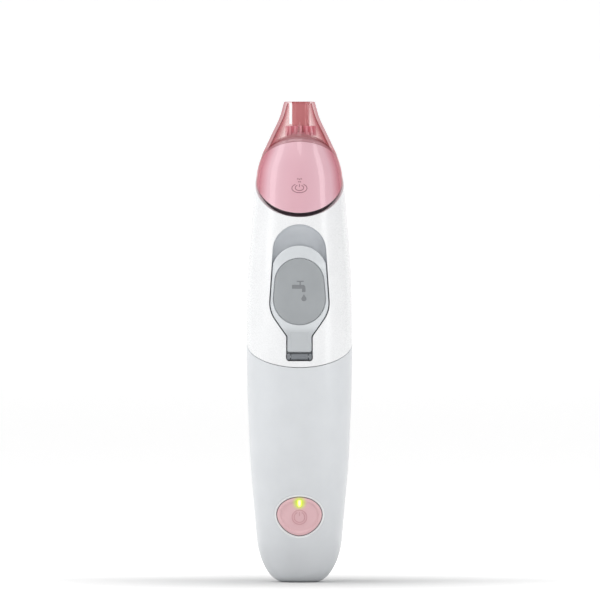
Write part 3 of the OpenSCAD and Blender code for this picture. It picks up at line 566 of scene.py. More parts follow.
def cut(made, work):
    """Takes a cutter's volume out of a piece."""
    data = bpy.data.meshes.new("cutter")
    work.to_mesh(data)
    work.free()
    cutter = bpy.data.objects.new("cutter", data)
    bpy.context.scene.collection.objects.link(cutter)
    change = made.modifiers.new("cut", "BOOLEAN")
    change.operation, change.solver, change.object = "DIFFERENCE", "EXACT", cutter
    bpy.context.view_layer.update()
    result = bpy.data.meshes.new_from_object(made.evaluated_get(bpy.context.evaluated_depsgraph_get()))
    made.modifiers.clear()
    made.data = result
    result.set_sharp_from_angle(angle=math.radians(40))
    bpy.data.objects.remove(cutter)


LINER_EDGE = 0.4
SCOOP_LOW_Z, SCOOP_RISE = 113.0, 7.0
FLOOR_INSET, FLOOR_THICK = 2.6, 1.2
PORT_Z, PORT_R = 106.0, 3.3
HINGE_Y, HINGE_Z = -19.0, 82.2
EAR_IN, EAR_OUT = 3.35, 4.45
liner = new_mesh()
rings = [add_loop(liner, on_front(recess_points(parts, 0.02), FLOOR_INSET + FLOOR_THICK))]
for turn in np.radians([0, 10, 20, 30, 40, 50, 60, 70, 80, 90]):
    steep = recess_points(parts, 0.02 + 0.7 * (1 - math.cos(turn)))
    wide = recess_points(parts, 0.02 + 4.2 * (1 - math.cos(turn)))
    bowl = np.clip((steep[:, 1:] - SCOOP_LOW_Z) / SCOOP_RISE, 0, 1)
    bowl = bowl**2 * (3 - 2 * bowl)
    rings.append(add_loop(liner, on_front(
        steep * (1 - bowl) + wide * bowl, LINER_EDGE + (FLOOR_INSET - LINER_EDGE) * math.sin(turn))))
for low, high in zip(rings, rings[1:]):
    bridge(liner, low, high)
fill(liner, [rings[-1]], FLOOR_INSET)
fill(liner, [rings[0]], FLOOR_INSET + FLOOR_THICK)
scoop_grey = moulded("satin_abs_mid_grey", "#c0c4c9", "#bbbfc4", 0.32, coat=0.2)
door_recess = piece("door_recess_tray", liner, scoop_grey, "handle", ["door_recess_liner"])
drilled(door_recess, (0, -30, PORT_Z), (0, -10, PORT_Z), PORT_R)


def rod(mesh, start, end, radius, bevel=0.15, count=32):
    """A round bar along X between two ends, with eased edges."""
    loops = []
    small = radius - bevel
    for x, r in ((start, small), (start + bevel, radius), (end - bevel, radius), (end, small)):
        turns = 2 * math.pi * np.arange(count) / count
        loops.append(add_loop(mesh, np.column_stack([
            np.full(count, x), HINGE_Y + r * np.cos(turns), HINGE_Z + r * np.sin(turns)])))
    for low, high in zip(loops, loops[1:]):
        bridge(mesh, low, high)
    mesh["faces"] += [tuple(loops[0]), tuple(loops[-1])]


ears = new_mesh()
for side in (-1, 1):
    rod(ears, *sorted((side * EAR_IN, side * EAR_OUT)), 1.2)
hinge_grey = moulded("abs_slate_grey", "#7f8388", "#777b80", 0.4)
piece("hinge_ears", ears, hinge_grey, "handle")

# ---- Water door --------------------------------------------------------------------------
# The door over the water tank is a light grey ABS moulding: an egg-shaped plate with a strap
# below it that ends in the hinge barrel. A soft grey pad is fitted into its front, with the
# sign of a tap and a drop moulded on it.

DOOR_DRAW = 0.35
DOOR_OUT, DOOR_IN = 0.25, 1.95
DOOR_TOP_R, DOOR_TOP_Z = 10.3, 112.2
TONGUE_Z, TONGUE_HALF = 83.9, 3.1
BARREL_R = 1.15


def half_outline(z, half, count):
    """A closed outline from half widths at rising heights."""
    right = np.column_stack([half, z])
    left = np.column_stack([-half[::-1], z[::-1]])
    return resample(np.vstack([right, left]), count)


door_z = TONGUE_Z + (DOOR_TOP_Z + DOOR_TOP_R - TONGUE_Z) * (1 - np.cos(np.linspace(0, math.pi, 400))) / 2
arc_half = np.sqrt(np.clip(DOOR_TOP_R**2 - (door_z - DOOR_TOP_Z) ** 2, 0, None))
circle_half = np.where(door_z < DOOR_TOP_Z, RECESS_R, arc_half)
door_half = np.minimum(recess_half(door_z, DOOR_DRAW), circle_half)
TONGUE_CORNER = 0.5
corner = np.clip(TONGUE_CORNER - (door_z - TONGUE_Z), 0, None)
door_half -= TONGUE_CORNER - np.sqrt(np.clip(TONGUE_CORNER**2 - corner**2, 0, None))
door_outline = half_outline(door_z, door_half, 220)
PAD_R, PAD_Z = 9.4, 103.2
PAD_TOP_R, PAD_TOP_Z = PAD_R - 0.5, PAD_Z + 5.8
pad_high = PAD_TOP_Z + PAD_TOP_R - PAD_Z + PAD_R
pad_z = PAD_Z - PAD_R + pad_high * (1 - np.cos(np.linspace(0, math.pi, 400))) / 2
pad_outline = half_outline(pad_z, hull_half(pad_z, PAD_R, PAD_Z, PAD_TOP_R, PAD_TOP_Z), 150)

door = new_mesh()
pocket = [add_loop(door, on_front(drawn(pad_outline, draw), inset)) for draw, inset in (
    [(-0.75, DOOR_OUT), (-0.62, DOOR_OUT - 0.06), (-0.45, DOOR_OUT - 0.09), (-0.28, DOOR_OUT - 0.04),
     (-0.16, DOOR_OUT + 0.12), (-0.12, DOOR_OUT + 0.6)])]
for low, high in zip(pocket, pocket[1:]):
    bridge(door, low, high)
fill(door, [pocket[-1]], DOOR_OUT + 0.6)
plate(door, door_outline, rounded(0.45, 0, DOOR_OUT) + [(0, DOOR_IN - 0.2), (0.2, DOOR_IN)],
      holes=[pocket[0]])
door_grey = moulded("satin_abs_light_grey", "#d9dde0", "#d5d9dc", 0.3, coat=0.25)
tree = door_grey.node_tree
base = tree.nodes["Principled BSDF"].inputs["Base Color"]
# Below z 93.5 the door's grey turns darker, down to z 90.3, and stays darker over the strap: painted shade
# on the strap.
SHADE_LOW_Z, SHADE_HIGH_Z = 90.3, 93.5
height = add(tree, "ShaderNodeSeparateXYZ", links={0: add(tree, "ShaderNodeTexCoord").outputs["Object"]})
upward = add(tree, "ShaderNodeMapRange", {"From Min": SHADE_LOW_Z * MM, "From Max": SHADE_HIGH_Z * MM},
             {"Value": height.outputs["Z"]}, interpolation_type="SMOOTHSTEP")
painted_strap_shade = add(tree, "ShaderNodeMix", data_type="RGBA",
               links={"Factor": upward.outputs["Result"], "B": base.links[0].from_socket})
painted_strap_shade.inputs["A"].default_value = linear("#bfc3c6")
tree.links.new(painted_strap_shade.outputs["Result"], base)
piece("door_plate", door, door_grey, "door", ["reservoir_door"])

barrel = new_mesh()
rod(barrel, -TONGUE_HALF, TONGUE_HALF, BARREL_R)
piece("door_hinge_barrel", barrel, hinge_grey, "door")

panel = new_mesh()
panel_outline = resample(np.array([[-3.15, 84.4], [3.15, 84.4], [3.45, 91.1], [-3.45, 91.1]]), 60)
plate(panel, panel_outline, [(0.34, DOOR_OUT + 0.02), (0.24, DOOR_OUT - 0.05), (0.1, DOOR_OUT - 0.05),
                             (0, DOOR_OUT + 0.02), (0, DOOR_OUT + 0.3)])
# The strap panel's darker grey carries the same painted shade as the strap round it.
panel_shade_grey = moulded("painted_shade_strap_grey", "#c1c5c8", "#bcc0c3", 0.32, coat=0.2)
piece("door_strap_panel", panel, panel_shade_grey, "door")

pad = new_mesh()
plate(pad, pad_outline, rounded(0.35, 0, 0.22) + [(0, 0.8)])
pad_rubber = moulded("soft_touch_grey_elastomer", "#a6aaad", "#9fa3a6", 0.55, grain_mm=0.25, bump_mm=0.006)
piece("door_soft_pad", pad, pad_rubber, "door", ["door_pad"])

SIGN_OUT = 0.17
sign_profile = [(0.08, SIGN_OUT), (0, SIGN_OUT + 0.04), (0, SIGN_OUT + 0.17)]


def sign(mesh, points, count=60):
    plate(mesh, resample(np.array(points), count), sign_profile, open_back=True)


tap = new_mesh()
sign(tap, [[-1.0, 109.35], [1.55, 109.35], [1.55, 109.75], [-1.0, 109.75]])
sign(tap, [[0.05, 108.2], [0.5, 108.2], [0.5, 109.5], [0.05, 109.5]])
body = [[-2.7, 106.85], [0.9, 106.85], [0.9, 105.65], [2.2, 105.65], [2.2, 107.3]]
body += [[1.2 + math.cos(t), 107.3 + 0.95 * math.sin(t)] for t in np.radians([15, 30, 45, 60, 75, 90])]
body += [[-2.7, 108.25]]
sign(tap, body, 110)
DROP_X, DROP_Z, DROP_HALF = 1.62, 103.25, 0.95
drop = [[DROP_X + DROP_HALF * math.cos(t) * (1 if math.sin(t) < 0 else (1 - math.sin(t)) ** 0.75),
         DROP_Z + (0.9 if math.sin(t) < 0 else 1.7) * math.sin(t)]
        for t in np.linspace(0, 2 * math.pi, 60, endpoint=False)]
sign(tap, drop, 60)
sign_grey = moulded("printed_dark_grey", "#838689", "#7d8083", 0.5)
piece("tap_sign", tap, sign_grey, "door")

# ---- Trigger button ----------------------------------------------------------------------
# The large button is two mouldings: a clear pink acrylic cover, polished, and under it an opaque
# light pink ABS core that carries the sign of the jet. Both wrap round the front of the head.

GAP = 0.85
cover_end = math.radians(24.5)
cover_angles = np.linspace(-math.pi - cover_end, cover_end, 121)


def cut_pair(inset, low_more, high_more):
    """The two heights that the button's edges cut, on a surface at an inset."""
    low = cut_heights(cover_angles, BUTTON_Z, BUTTON_SLOPE, inset) + low_more
    high = cut_heights(cover_angles, RIM_Z, -RIM_SLOPE, inset) - high_more
    middle = (low + high) / 2
    return np.minimum(low, middle - 0.15), np.maximum(high, middle + 0.15)


def wrap(mesh, low_more, high_more, front, back, edge, count=28, height=None):
    """A closed shell round the front between the button's two cut edges, with rounded edges."""
    sides = []
    for inset in (front, back):
        low, high = cut_pair(inset, low_more, high_more)
        if height:
            low = np.maximum(low, high - height)
        turns = np.linspace(0, math.pi / 2, 5)
        edge_z = np.minimum(edge, (high - low) / 3)
        bend = edge if inset == front else 0
        rows = [(low + edge_z * (1 - math.sin(t)), inset + bend * (1 - math.cos(t))) for t in turns[::-1]]
        middle = high - low - 2 * edge_z
        rows += [(low + edge_z + middle * v, inset) for v in np.linspace(0, 1, count)[1:-1]]
        rows += [(high - edge_z * (1 - math.sin(t)), inset + bend * (1 - math.cos(t))) for t in turns]
        sides.append([add_loop(mesh, on_form(cover_angles, z, deep)) for z, deep in rows])
    outer, inner = sides
    for side in sides:
        for a, b in zip(side, side[1:]):
            bridge(mesh, a, b, closed=False)
    bridge(mesh, outer[0], inner[0], closed=False)
    bridge(mesh, outer[-1], inner[-1], closed=False)
    for end in (0, -1):
        for k in range(len(outer) - 1):
            mesh["faces"].append((outer[k][end], outer[k + 1][end], inner[k + 1][end], inner[k][end]))


cover = new_mesh()
slope_low = math.hypot(1, BUTTON_SLOPE)
wrap(cover, GAP * slope_low, 0.24, 0.1, 0.55, 0.35)


def lacquer_clear(name, face_on, edge_on, roughness=0.03, flow_mm=7, turn=(0.35, 0.9)):
    """Thin clear plastic as a tinted film: deeper in colour where it is seen edge on, with a full gloss."""
    made = bpy.data.materials.new(name)
    made.use_nodes = True
    tree = made.node_tree
    tree.nodes.remove(tree.nodes["Principled BSDF"])
    place = add(tree, "ShaderNodeTexCoord").outputs["Object"]
    flow = add(tree, "ShaderNodeTexNoise", {"Scale": 1000 / flow_mm, "Detail": 2.0}, {"Vector": place})
    bump = add(tree, "ShaderNodeBump", {"Strength": 0.15, "Distance": 0.01 * MM},
               {"Height": flow.outputs["Fac"]})
    facing = add(tree, "ShaderNodeLayerWeight", {"Blend": 0.5}).outputs["Facing"]
    tint = ramp(tree, facing, [(turn[0], face_on), (turn[1], edge_on)])
    through = add(tree, "ShaderNodeBsdfTransparent", links={"Color": tint})
    gloss = add(tree, "ShaderNodeBsdfGlossy", {"Roughness": roughness}, {"Normal": bump.outputs["Normal"]})
    mirror = add(tree, "ShaderNodeFresnel", {"IOR": 1.49}, {"Normal": bump.outputs["Normal"]})
    behind = add(tree, "ShaderNodeNewGeometry").outputs["Backfacing"]
    ahead = add(tree, "ShaderNodeMath", {0: 1.0}, {1: behind}, operation="SUBTRACT")
    front = add(tree, "ShaderNodeMath", links={0: mirror.outputs["Fac"], 1: ahead.outputs["Value"]},
                operation="MULTIPLY")
    both = add(tree, "ShaderNodeMixShader", links={0: front.outputs["Value"], 1: through.outputs["BSDF"],
               2: gloss.outputs["BSDF"]})
    tree.links.new(both.outputs["Shader"], tree.nodes["Material Output"].inputs["Surface"])
    return made


pink_acrylic = lacquer_clear("polished_acrylic_rose", "#fffbfc", "#e08c9c")
piece("trigger_cover", cover, pink_acrylic, "trigger", ["trigger_button"])

core = new_mesh()
wrap(core, (GAP + 0.05) * slope_low, 1.45, 0.6, 1.7, 0.2)
pink_abs = moulded("gloss_abs_light_pink", "#f3dbe2", "#f0d7df", 0.3)
piece("trigger_core", core, pink_abs, "trigger")
# A grey pink band along the top of the core stands for the dark band under the nozzle's foot: painted
# shade.
band = new_mesh()
wrap(band, (GAP + 0.05) * slope_low, 0.35, 0.6, 1.7, 0.12, count=6, height=1.05)
shade_band_pink = moulded("painted_shade_grey_pink", "#c8a3a8", "#c19ba1", 0.35)
piece("trigger_core_rim", band, shade_band_pink, "trigger")


def stroke(mesh, path, width, top, base, closed=False):
    """A raised line on the form along a path across and up."""
    path = np.array(path, float)
    along = np.gradient(path, axis=0)
    if closed:
        along = np.roll(path, -1, axis=0) - np.roll(path, 1, axis=0)
    along /= np.linalg.norm(along, axis=1)[:, None]
    side = np.column_stack([-along[:, 1], along[:, 0]]) * width / 2
    section = [(-1, base), (-1, top + 0.04), (-0.6, top), (0.6, top), (1, top + 0.04), (1, base)]
    lines = [add_loop(mesh, on_front(path + side * share, inset)) for share, inset in section]
    for low, high in zip(lines, lines[1:] + lines[:1]):
        bridge(mesh, low, high, closed=closed)
    if not closed:
        mesh["faces"] += [tuple(line[0] for line in lines), tuple(line[-1] for line in lines)]


def arc(centre_z, half_w, half_h, open_degrees, count=48):
    turns = np.radians(np.linspace(90 + open_degrees, 450 - open_degrees, count))
    return np.column_stack([half_w * np.cos(turns), centre_z + half_h * np.sin(turns)])


jet = new_mesh()
JET_TOP, JET_BASE = 0.57, 0.8
stroke(jet, arc(143.3, 2.75, 1.62, 32), 0.26, JET_TOP, JET_BASE)
stroke(jet, arc(143.45, 1.55, 1.0, 30), 0.26, JET_TOP, JET_BASE)
stroke(jet, [[0, 143.7], [0, 144.2], [0, 144.8]], 0.26, JET_TOP, JET_BASE)
SPRAY = [(-0.62, 146.7, 0.4), (0, 146.55, 0.36), (0.62, 146.7, 0.4), (-0.28, 145.65, 0.36),
         (0.28, 145.65, 0.36)]
for x, z, size in SPRAY:
    stroke(jet, [[x - size / 2, z], [x, z], [x + size / 2, z]], 0.42, JET_TOP, JET_BASE)
sign_pink = moulded("printed_brown_pink", "#9c6c78", "#94646f", 0.4)
piece("jet_sign", jet, sign_pink, "trigger")

# ---- Nozzle ------------------------------------------------------------------------------
# The nozzle is a clear rose moulding that pulls off upward. Its tapering wall stands on the rim
# above the trigger; a thin web closes the top round the jet tube, and a slit beside the tube
# lets water out.

NOZZLE_WALL = 1.3
BORE_X, BORE_R = 0.5, 3.25
WEB = 0.6
TIP_ROLL = 0.25
nozzle_low = cut_heights(around, RIM_Z, -RIM_SLOPE)
climb = np.linspace(0.03, 0.985, 34)
nozzle = new_mesh()
nozzle_rows = rim(nozzle_low + 0.02, (NOZZLE_WALL, 0), -1, 0.18)
nozzle_rows += [(nozzle_low + (NOZZLE_TOP - nozzle_low) * v, 0.0) for v in climb]
nozzle_rows += [(NOZZLE_TOP - TIP_ROLL * (1 - math.sin(t)), TIP_ROLL * (1 - math.cos(t)))
                for t in np.radians([0, 30, 60, 90])]
under = NOZZLE_TOP - WEB
inner_rows = [(nozzle_low + (under - nozzle_low) * v, NOZZLE_WALL) for v in [1.0, *climb[::-1]]]


def nozzle_loop(z, inset):
    return add_loop(nozzle, on_form(around, np.broadcast_to(z, around.shape), inset))


loops = [nozzle_loop(*row) for row in nozzle_rows]
bore = np.column_stack([BORE_X + BORE_R * np.cos(around), NECK_Y + BORE_R * np.sin(around)])
for z in (NOZZLE_TOP, under):
    loops.append(add_loop(nozzle, np.column_stack([bore, np.full(COLUMNS, z)])))
loops += [nozzle_loop(*row) for row in inner_rows]
for low, high in zip(loops, loops[1:] + loops[:1]):
    bridge(nozzle, low, high)
rose = lacquer_clear("polished_polycarbonate_rose", "#faefef", "#d0808b", turn=(0.3, 0.95))
nozzle_piece = piece("nozzle_clear_shell", nozzle, rose, "nozzle", ["nozzle_shell"])
work = bmesh.new()
bmesh.ops.create_cube(work, size=1.0, matrix=Matrix.Translation((-3.2 * MM, NECK_Y * MM, 170.45 * MM))
                      @ Matrix.Diagonal((0.9 * MM, 20 * MM, 7.5 * MM, 1)))
cut(nozzle_piece, work)

# An opaque seat ring on the head carries the nozzle's wall from inside. Its grey pink is painted shade: the
# dark band seen through the nozzle's foot.
seat = new_mesh()
seat_rows = []
for inset, more in ((1.4, 0.1), (1.4, 1.7), (2.4, 1.7), (2.4, 0.1)):
    z = cut_heights(around, RIM_Z, -RIM_SLOPE, 1.4) + more
    seat_rows.append(add_loop(seat, on_form(around, z, inset)))
for low, high in zip(seat_rows, seat_rows[1:] + seat_rows[:1]):
    bridge(seat, low, high)
piece("nozzle_seat_ring", seat, shade_band_pink, "handle")

# ---- Power button ------------------------------------------------------------------------
# A pink ABS button at the foot of the grip, with a dished face inside a rim, the sign for power
# moulded on it, and a small light pipe at its top edge that glows green.

LED_Z, LED_R, LED_HALF = 29.1, 0.8, 0.6
led_ends = [LED_Z + (LED_HALF if math.sin(t) > 0 else -LED_HALF) for t in turns]
led_outline = resample(np.column_stack([LED_R * np.cos(turns), led_ends + LED_R * np.sin(turns)]), 48)
button = new_mesh()
face = [(2.1, 0.55), (1.85, 0.54), (1.6, 0.48), (1.4, 0.36), (1.2, 0.16), (1.05, 0.07), (0.9, 0.05)]
hole = [add_loop(button, on_front(drawn(led_outline, -0.06), inset)) for inset in (0.55, 1.3)]
bridge(button, *hole)
plate(button, button_outline, face + rounded(0.35, 0, 0.05) + [(0, 1.3)], holes=[hole[0]])


GLOW_IN, GLOW_OUT = 0.8, 3.1


def glowing(name, light, dark, roughness, coat):
    """Moulded plastic with the light of the lamp on it, fading out over two millimetres."""
    made = moulded(name, light, dark, roughness, coat=coat)
    tree = made.node_tree
    shader = tree.nodes["Principled BSDF"]
    plain = shader.inputs["Base Color"].links[0].from_socket
    place = add(tree, "ShaderNodeTexCoord").outputs["Object"]
    lamp = on_front(np.array([[0, LED_Z]]), 0.1)[0] * MM
    away = add(tree, "ShaderNodeVectorMath", links={0: place}, operation="DISTANCE")
    away.inputs[1].default_value = lamp
    glow = add(tree, "ShaderNodeMapRange", {"From Min": GLOW_OUT * MM, "From Max": GLOW_IN * MM},
               {"Value": away.outputs["Value"]}, interpolation_type="SMOOTHSTEP")
    mixed = add(tree, "ShaderNodeMix", links={"Factor": glow.outputs["Result"], "A": plain},
                data_type="RGBA")
    mixed.inputs["B"].default_value = linear("#c9dc3c")
    tree.links.new(mixed.outputs["Result"], shader.inputs["Base Color"])
    strength = add(tree, "ShaderNodeMath", {1: 0.28}, {0: glow.outputs["Result"]}, operation="MULTIPLY")
    shader.inputs["Emission Color"].default_value = linear("#c8e030")
    tree.links.new(strength.outputs["Value"], shader.inputs["Emission Strength"])
    return made


button_pink = glowing("satin_abs_blush_pink", "#e9bfc3", "#e5b9be", 0.3, 0.25)
piece("power_button_cap", button, button_pink, "power", ["power_button"])

SIGN_Z = 23.9
power_sign = new_mesh()
SIGN_TOP, SIGN_BASE = 0.42, 0.7
full = np.column_stack([2.68 * np.cos(turns[::12]), SIGN_Z + 2.6 * np.sin(turns[::12])])
stroke(power_sign, full, 0.28, SIGN_TOP, SIGN_BASE, closed=True)
stroke(power_sign, arc(SIGN_Z, 1.9, 1.85, 24), 0.28, SIGN_TOP, SIGN_BASE)
stroke(power_sign, [[0, SIGN_Z + 0.5], [0, SIGN_Z + 1.2], [0, SIGN_Z + 1.9]], 0.28, SIGN_TOP, SIGN_BASE)
sign_blush = moulded("raised_blush_pink", "#d9a3aa", "#d49da4", 0.35, coat=0.2)
piece("power_sign", power_sign, sign_blush, "power")

lamp = new_mesh()
plate(lamp, led_outline, rounded(0.2, 0, 0.06) + [(0, 1.5)])
lamp_glow, tree, shader = finish_material("lit_light_pipe", Roughness=0.3)
place = add(tree, "ShaderNodeTexCoord").outputs["Object"]
haze = add(tree, "ShaderNodeTexNoise", {"Scale": 2500.0}, {"Vector": place})
pale_green = ramp(tree, haze.outputs["Fac"], [(0.3, "#c9dc4a"), (0.7, "#d2e45a")])
tree.links.new(pale_green, shader.inputs["Base Color"])
squeezed = add(tree, "ShaderNodeMapping", links={"Vector": place})
squeezed.inputs["Location"].default_value = (0, 0, -LED_Z * 0.42 * MM)
squeezed.inputs["Scale"].default_value = (1, 0, 0.42)
reach = add(tree, "ShaderNodeVectorMath", links={0: squeezed.outputs["Vector"]}, operation="LENGTH")
hot = add(tree, "ShaderNodeMapRange", {"From Max": 0.001}, {"Value": reach.outputs["Value"]})
tree.links.new(ramp(tree, hot.outputs["Result"], [(0.3, "#ffffe2"), (0.62, "#d5e850"), (0.8, "#b4cc28")]),
               shader.inputs["Emission Color"])
shader.inputs["Emission Strength"].default_value = 0.9
piece("power_light_pipe", lamp, lamp_glow, "power", ["led_lens"])

# ---- Inside parts ------------------------------------------------------------------------
# Everything the two housings hide keeps the shape it has in the design, and gets the finish of what it is
# made of: natural acetal, drawn and pressed steel, turned brass, silicone rubber. The head frame's dark
# mauve grey is painted shade.


def finish(material, *nodes):
    for node in nodes:
        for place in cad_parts[node].material_slots:
            place.material = material


def metal(name, light, dark, roughness, line_mm=0.2, stretch=(1, 1, 12), coat=0.0):
    """Bare metal with the fine lines that drawing, turning or pressing leaves."""
    made, tree, shader = finish_material(name, Metallic=1.0, Coat_Weight=coat)
    place = add(tree, "ShaderNodeTexCoord").outputs["Object"]
    laid = add(tree, "ShaderNodeMapping", links={"Vector": place})
    laid.inputs["Scale"].default_value = tuple(1 / s for s in stretch)
    lines = add(tree, "ShaderNodeTexNoise", {"Scale": 1000 / line_mm, "Detail": 3.0},
                {"Vector": laid.outputs["Vector"]})
    colour = ramp(tree, lines.outputs["Fac"], [(0.3, dark), (0.7, light)])
    tree.links.new(colour, shader.inputs["Base Color"])
    gloss = add(tree, "ShaderNodeMapRange", {"To Min": roughness - 0.06, "To Max": roughness + 0.1},
                {"Value": lines.outputs["Fac"]})
    tree.links.new(gloss.outputs["Result"], shader.inputs["Roughness"])
    bump = add(tree, "ShaderNodeBump", {"Strength": 0.2, "Distance": 0.003 * MM},
               {"Height": lines.outputs["Fac"]})
    tree.links.new(bump.outputs["Normal"], shader.inputs["Normal"])
    return made


def clear_plastic(name, tint, density, roughness=0.03, flow_mm=6, bump_mm=0.01):
    """Polished clear plastic, tinted in the mass, with the faint ripple that moulding leaves."""
    made, tree, shader = finish_material(
        name, IOR=1.49, Transmission_Weight=1.0, Coat_Weight=0.0)
    shader.inputs["Base Color"].default_value = (1, 1, 1, 1)
    place = add(tree, "ShaderNodeTexCoord").outputs["Object"]
    flow = add(tree, "ShaderNodeTexNoise", {"Scale": 1000 / flow_mm, "Detail": 2.0}, {"Vector": place})
    gloss = add(tree, "ShaderNodeMapRange", {"To Min": roughness, "To Max": roughness + 0.03},
                {"Value": flow.outputs["Fac"]})
    bump = add(tree, "ShaderNodeBump", {"Strength": 0.15, "Distance": bump_mm * MM},
               {"Height": flow.outputs["Fac"]})
    volume = add(tree, "ShaderNodeVolumeAbsorption", {"Color": linear(tint), "Density": density})
    tree.links.new(gloss.outputs["Result"], shader.inputs["Roughness"])
    tree.links.new(bump.outputs["Normal"], shader.inputs["Normal"])
    tree.links.new(volume.outputs["Volume"], tree.nodes["Material Output"].inputs["Volume"])
    return made


def board(name):
    """Glass-fibre board under green solder mask: copper runs show through as lighter lines."""
    made, tree, shader = finish_material(name, Roughness=0.35, Coat_Weight=0.4, Coat_Roughness=0.15)
    place = add(tree, "ShaderNodeTexCoord").outputs["Object"]
    turned = add(tree, "ShaderNodeMapping", links={"Vector": place})
    turned.inputs["Rotation"].default_value = (math.radians(90), 0, 0)
    runs = add(tree, "ShaderNodeTexBrick", {"Scale": 260.0, "Mortar Size": 0.035, "Mortar Smooth": 0.2,
               "Brick Width": 0.9, "Row Height": 0.3}, {"Vector": turned.outputs["Vector"]}, offset=0.37)
    runs.inputs["Color1"].default_value = linear("#1e5c3c")
    runs.inputs["Color2"].default_value = linear("#226342")
    runs.inputs["Mortar"].default_value = linear("#3c8a60")
    tree.links.new(runs.outputs["Color"], shader.inputs["Base Color"])
    bump = add(tree, "ShaderNodeBump", {"Strength": 0.4, "Distance": 0.03 * MM},
               {"Height": runs.outputs["Fac"]})
    tree.links.new(bump.outputs["Normal"], shader.inputs["Normal"])
    return made


# The head frame is dark mauve grey, so that the gap under the trigger's lower edge reads as a dark line:
# painted shade.
shadow_gap_mauve = moulded("painted_shadow_gap_mauve", "#5f545a", "#584e54", 0.45)
finish(shadow_gap_mauve, "head_frame")
seal_pink = moulded("silicone_rubber_pink", "#f0c4ca", "#ebbcc3", 0.5)
finish(seal_pink, "nozzle_seal", "outlet_spigot")
inner_abs = moulded("natural_abs_ivory", "#e4e2da", "#dcdad1", 0.5, grain_mm=0.5)
finish(inner_abs, "chassis", "lower_bearing_plate", "upper_bearing_plate", "mixing_manifold",
       "power_cylinder", "reservoir_tank")
acetal = moulded("natural_acetal", "#f1f0ea", "#e9e7df", 0.38, subsurface=0.1)
finish(acetal, "drive_gear", "plunger", "outlet_valve")
tube_pink = moulded("gloss_abs_coral_pink", "#dda0a3", "#d6979b", 0.18, coat=0.5)
finish(tube_pink, "jet_tube")
collar_pink = moulded("gloss_abs_bright_pink", "#ffc6d4", "#fdbccc", 0.1, coat=1.0)
finish(collar_pink, "nozzle_collar")
silicone = moulded("silicone_rubber_grey", "#8b8e93", "#838689", 0.6, bump_mm=0.01)
finish(silicone, "housing_seal", "door_plug", "plunger_o_ring", "power_button_gasket", "socket_seal",
       "switch_boot")
spring_steel = metal("drawn_spring_steel", "#c9ccd0", "#a9acb0", 0.25)
finish(spring_steel, "follower_pin", "door_hinge_pin", "trigger_pivot_pins", "motor_shaft",
       "frame_screws")

# The power spring stands on the cylinder's floor. In the device it closes up as the plunger is drawn down;
# here it is built as one coil at rest.
SPRING_LOW, SPRING_TOP, STROKE = 101.06, 116.89, 10.0
SPRING_R, WIRE_R, SPRING_TURNS, DRIVE_Y = 4.2, 0.45, 6, 6.6
coil_high = SPRING_TOP - SPRING_LOW - 2 * WIRE_R
spring = new_mesh()
ring = None
for turn in np.linspace(0, 2 * math.pi * SPRING_TURNS, 36 * SPRING_TURNS + 1):
    height = SPRING_LOW + WIRE_R + coil_high * turn / (2 * math.pi * SPRING_TURNS)
    wire = [(SPRING_R + WIRE_R * math.cos(t), height + WIRE_R * math.sin(t))
            for t in np.radians(np.arange(0, 360, 36))]
    here = add_loop(spring, [(r * math.cos(turn), DRIVE_Y + r * math.sin(turn), z) for r, z in wire])
    if ring is None:
        spring["faces"].append(tuple(here))
    else:
        bridge(spring, ring, here)
    ring = here
spring["faces"].append(tuple(ring))
power_coil = piece("power_spring_coil", spring, spring_steel, "handle", ["power_spring"])
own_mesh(power_coil)

can_steel = metal("zinc_plated_steel", "#c4c6c4", "#b1b4b3", 0.32, stretch=(1, 1, 6))
finish(can_steel, "motor")
brass = metal("turned_brass", "#d9b56a", "#c49c50", 0.25, stretch=(6, 6, 1))
finish(brass, "motor_pinion", "gear_bushing")
nickel = metal("nickel_strip", "#cfcdc6", "#b9b7b0", 0.3, stretch=(4, 1, 1))
finish(nickel, "battery_tabs")
finish(board("solder_mask_green"), "control_board")
nylon = moulded("glass_filled_nylon_black", "#2b2c2f", "#232427", 0.5)
finish(nylon, "trigger_switch", "power_switch")
wrap_film = moulded("shrink_film_blue", "#3d6ea8", "#35639b", 0.3, coat=0.5, cloud_mm=4)
finish(wrap_film, "battery")
clear = clear_plastic("clear_polypropylene", "#dfe8ea", 60, roughness=0.12)
finish(clear, "dip_tube", "delivery_tube")
epoxy = clear_plastic("clear_epoxy_green_lamp", "#c8e870", 300, roughness=0.08)
finish(epoxy, "status_led")
enamel = metal("enamelled_copper", "#b8683a", "#9c5028", 0.3, line_mm=0.3, stretch=(8, 8, 1), coat=0.6)
finish(enamel, "charging_coil")
sleeve = moulded("pvc_wire_sleeve_red", "#b23a34", "#a3322d", 0.4, bump_mm=0.005)
finish(sleeve, "motor_wires", "coil_wires")
socket_white = moulded("satin_abs_socket_white", "#e9ebec", "#e3e5e6", 0.32, coat=0.2)
finish(socket_white, "charging_socket")

# ---- Scene: floor, light and camera ------------------------------------------------------
# A white paper sweep, an even studio light, a broad soft box on the left and a narrow one on the
# right, which draw the long reflections down the polished pieces.

bpy.context.scene.view_settings.view_transform = "Standard"    # plain colours, with no film look
FRAME_MM = 218.4
LENS_MM, SENSOR_MM = 825.0, 36.0
camera_data = bpy.data.cameras.new("camera")
camera_data.lens = LENS_MM
camera_data.sensor_width = SENSOR_MM
distance = FRAME_MM * MM * LENS_MM / SENSOR_MM
elevation = math.radians(0.5)
aim = (0.0002, 0.0, 0.1026)
camera = bpy.data.objects.new("camera", camera_data)
camera.location = (aim[0], -distance * math.cos(elevation), aim[2] + distance * math.sin(elevation))
camera.rotation_euler = (math.radians(90) - elevation, 0, 0)
camera_data.clip_end = 40
bpy.context.scene.collection.objects.link(camera)
bpy.context.scene.camera = camera

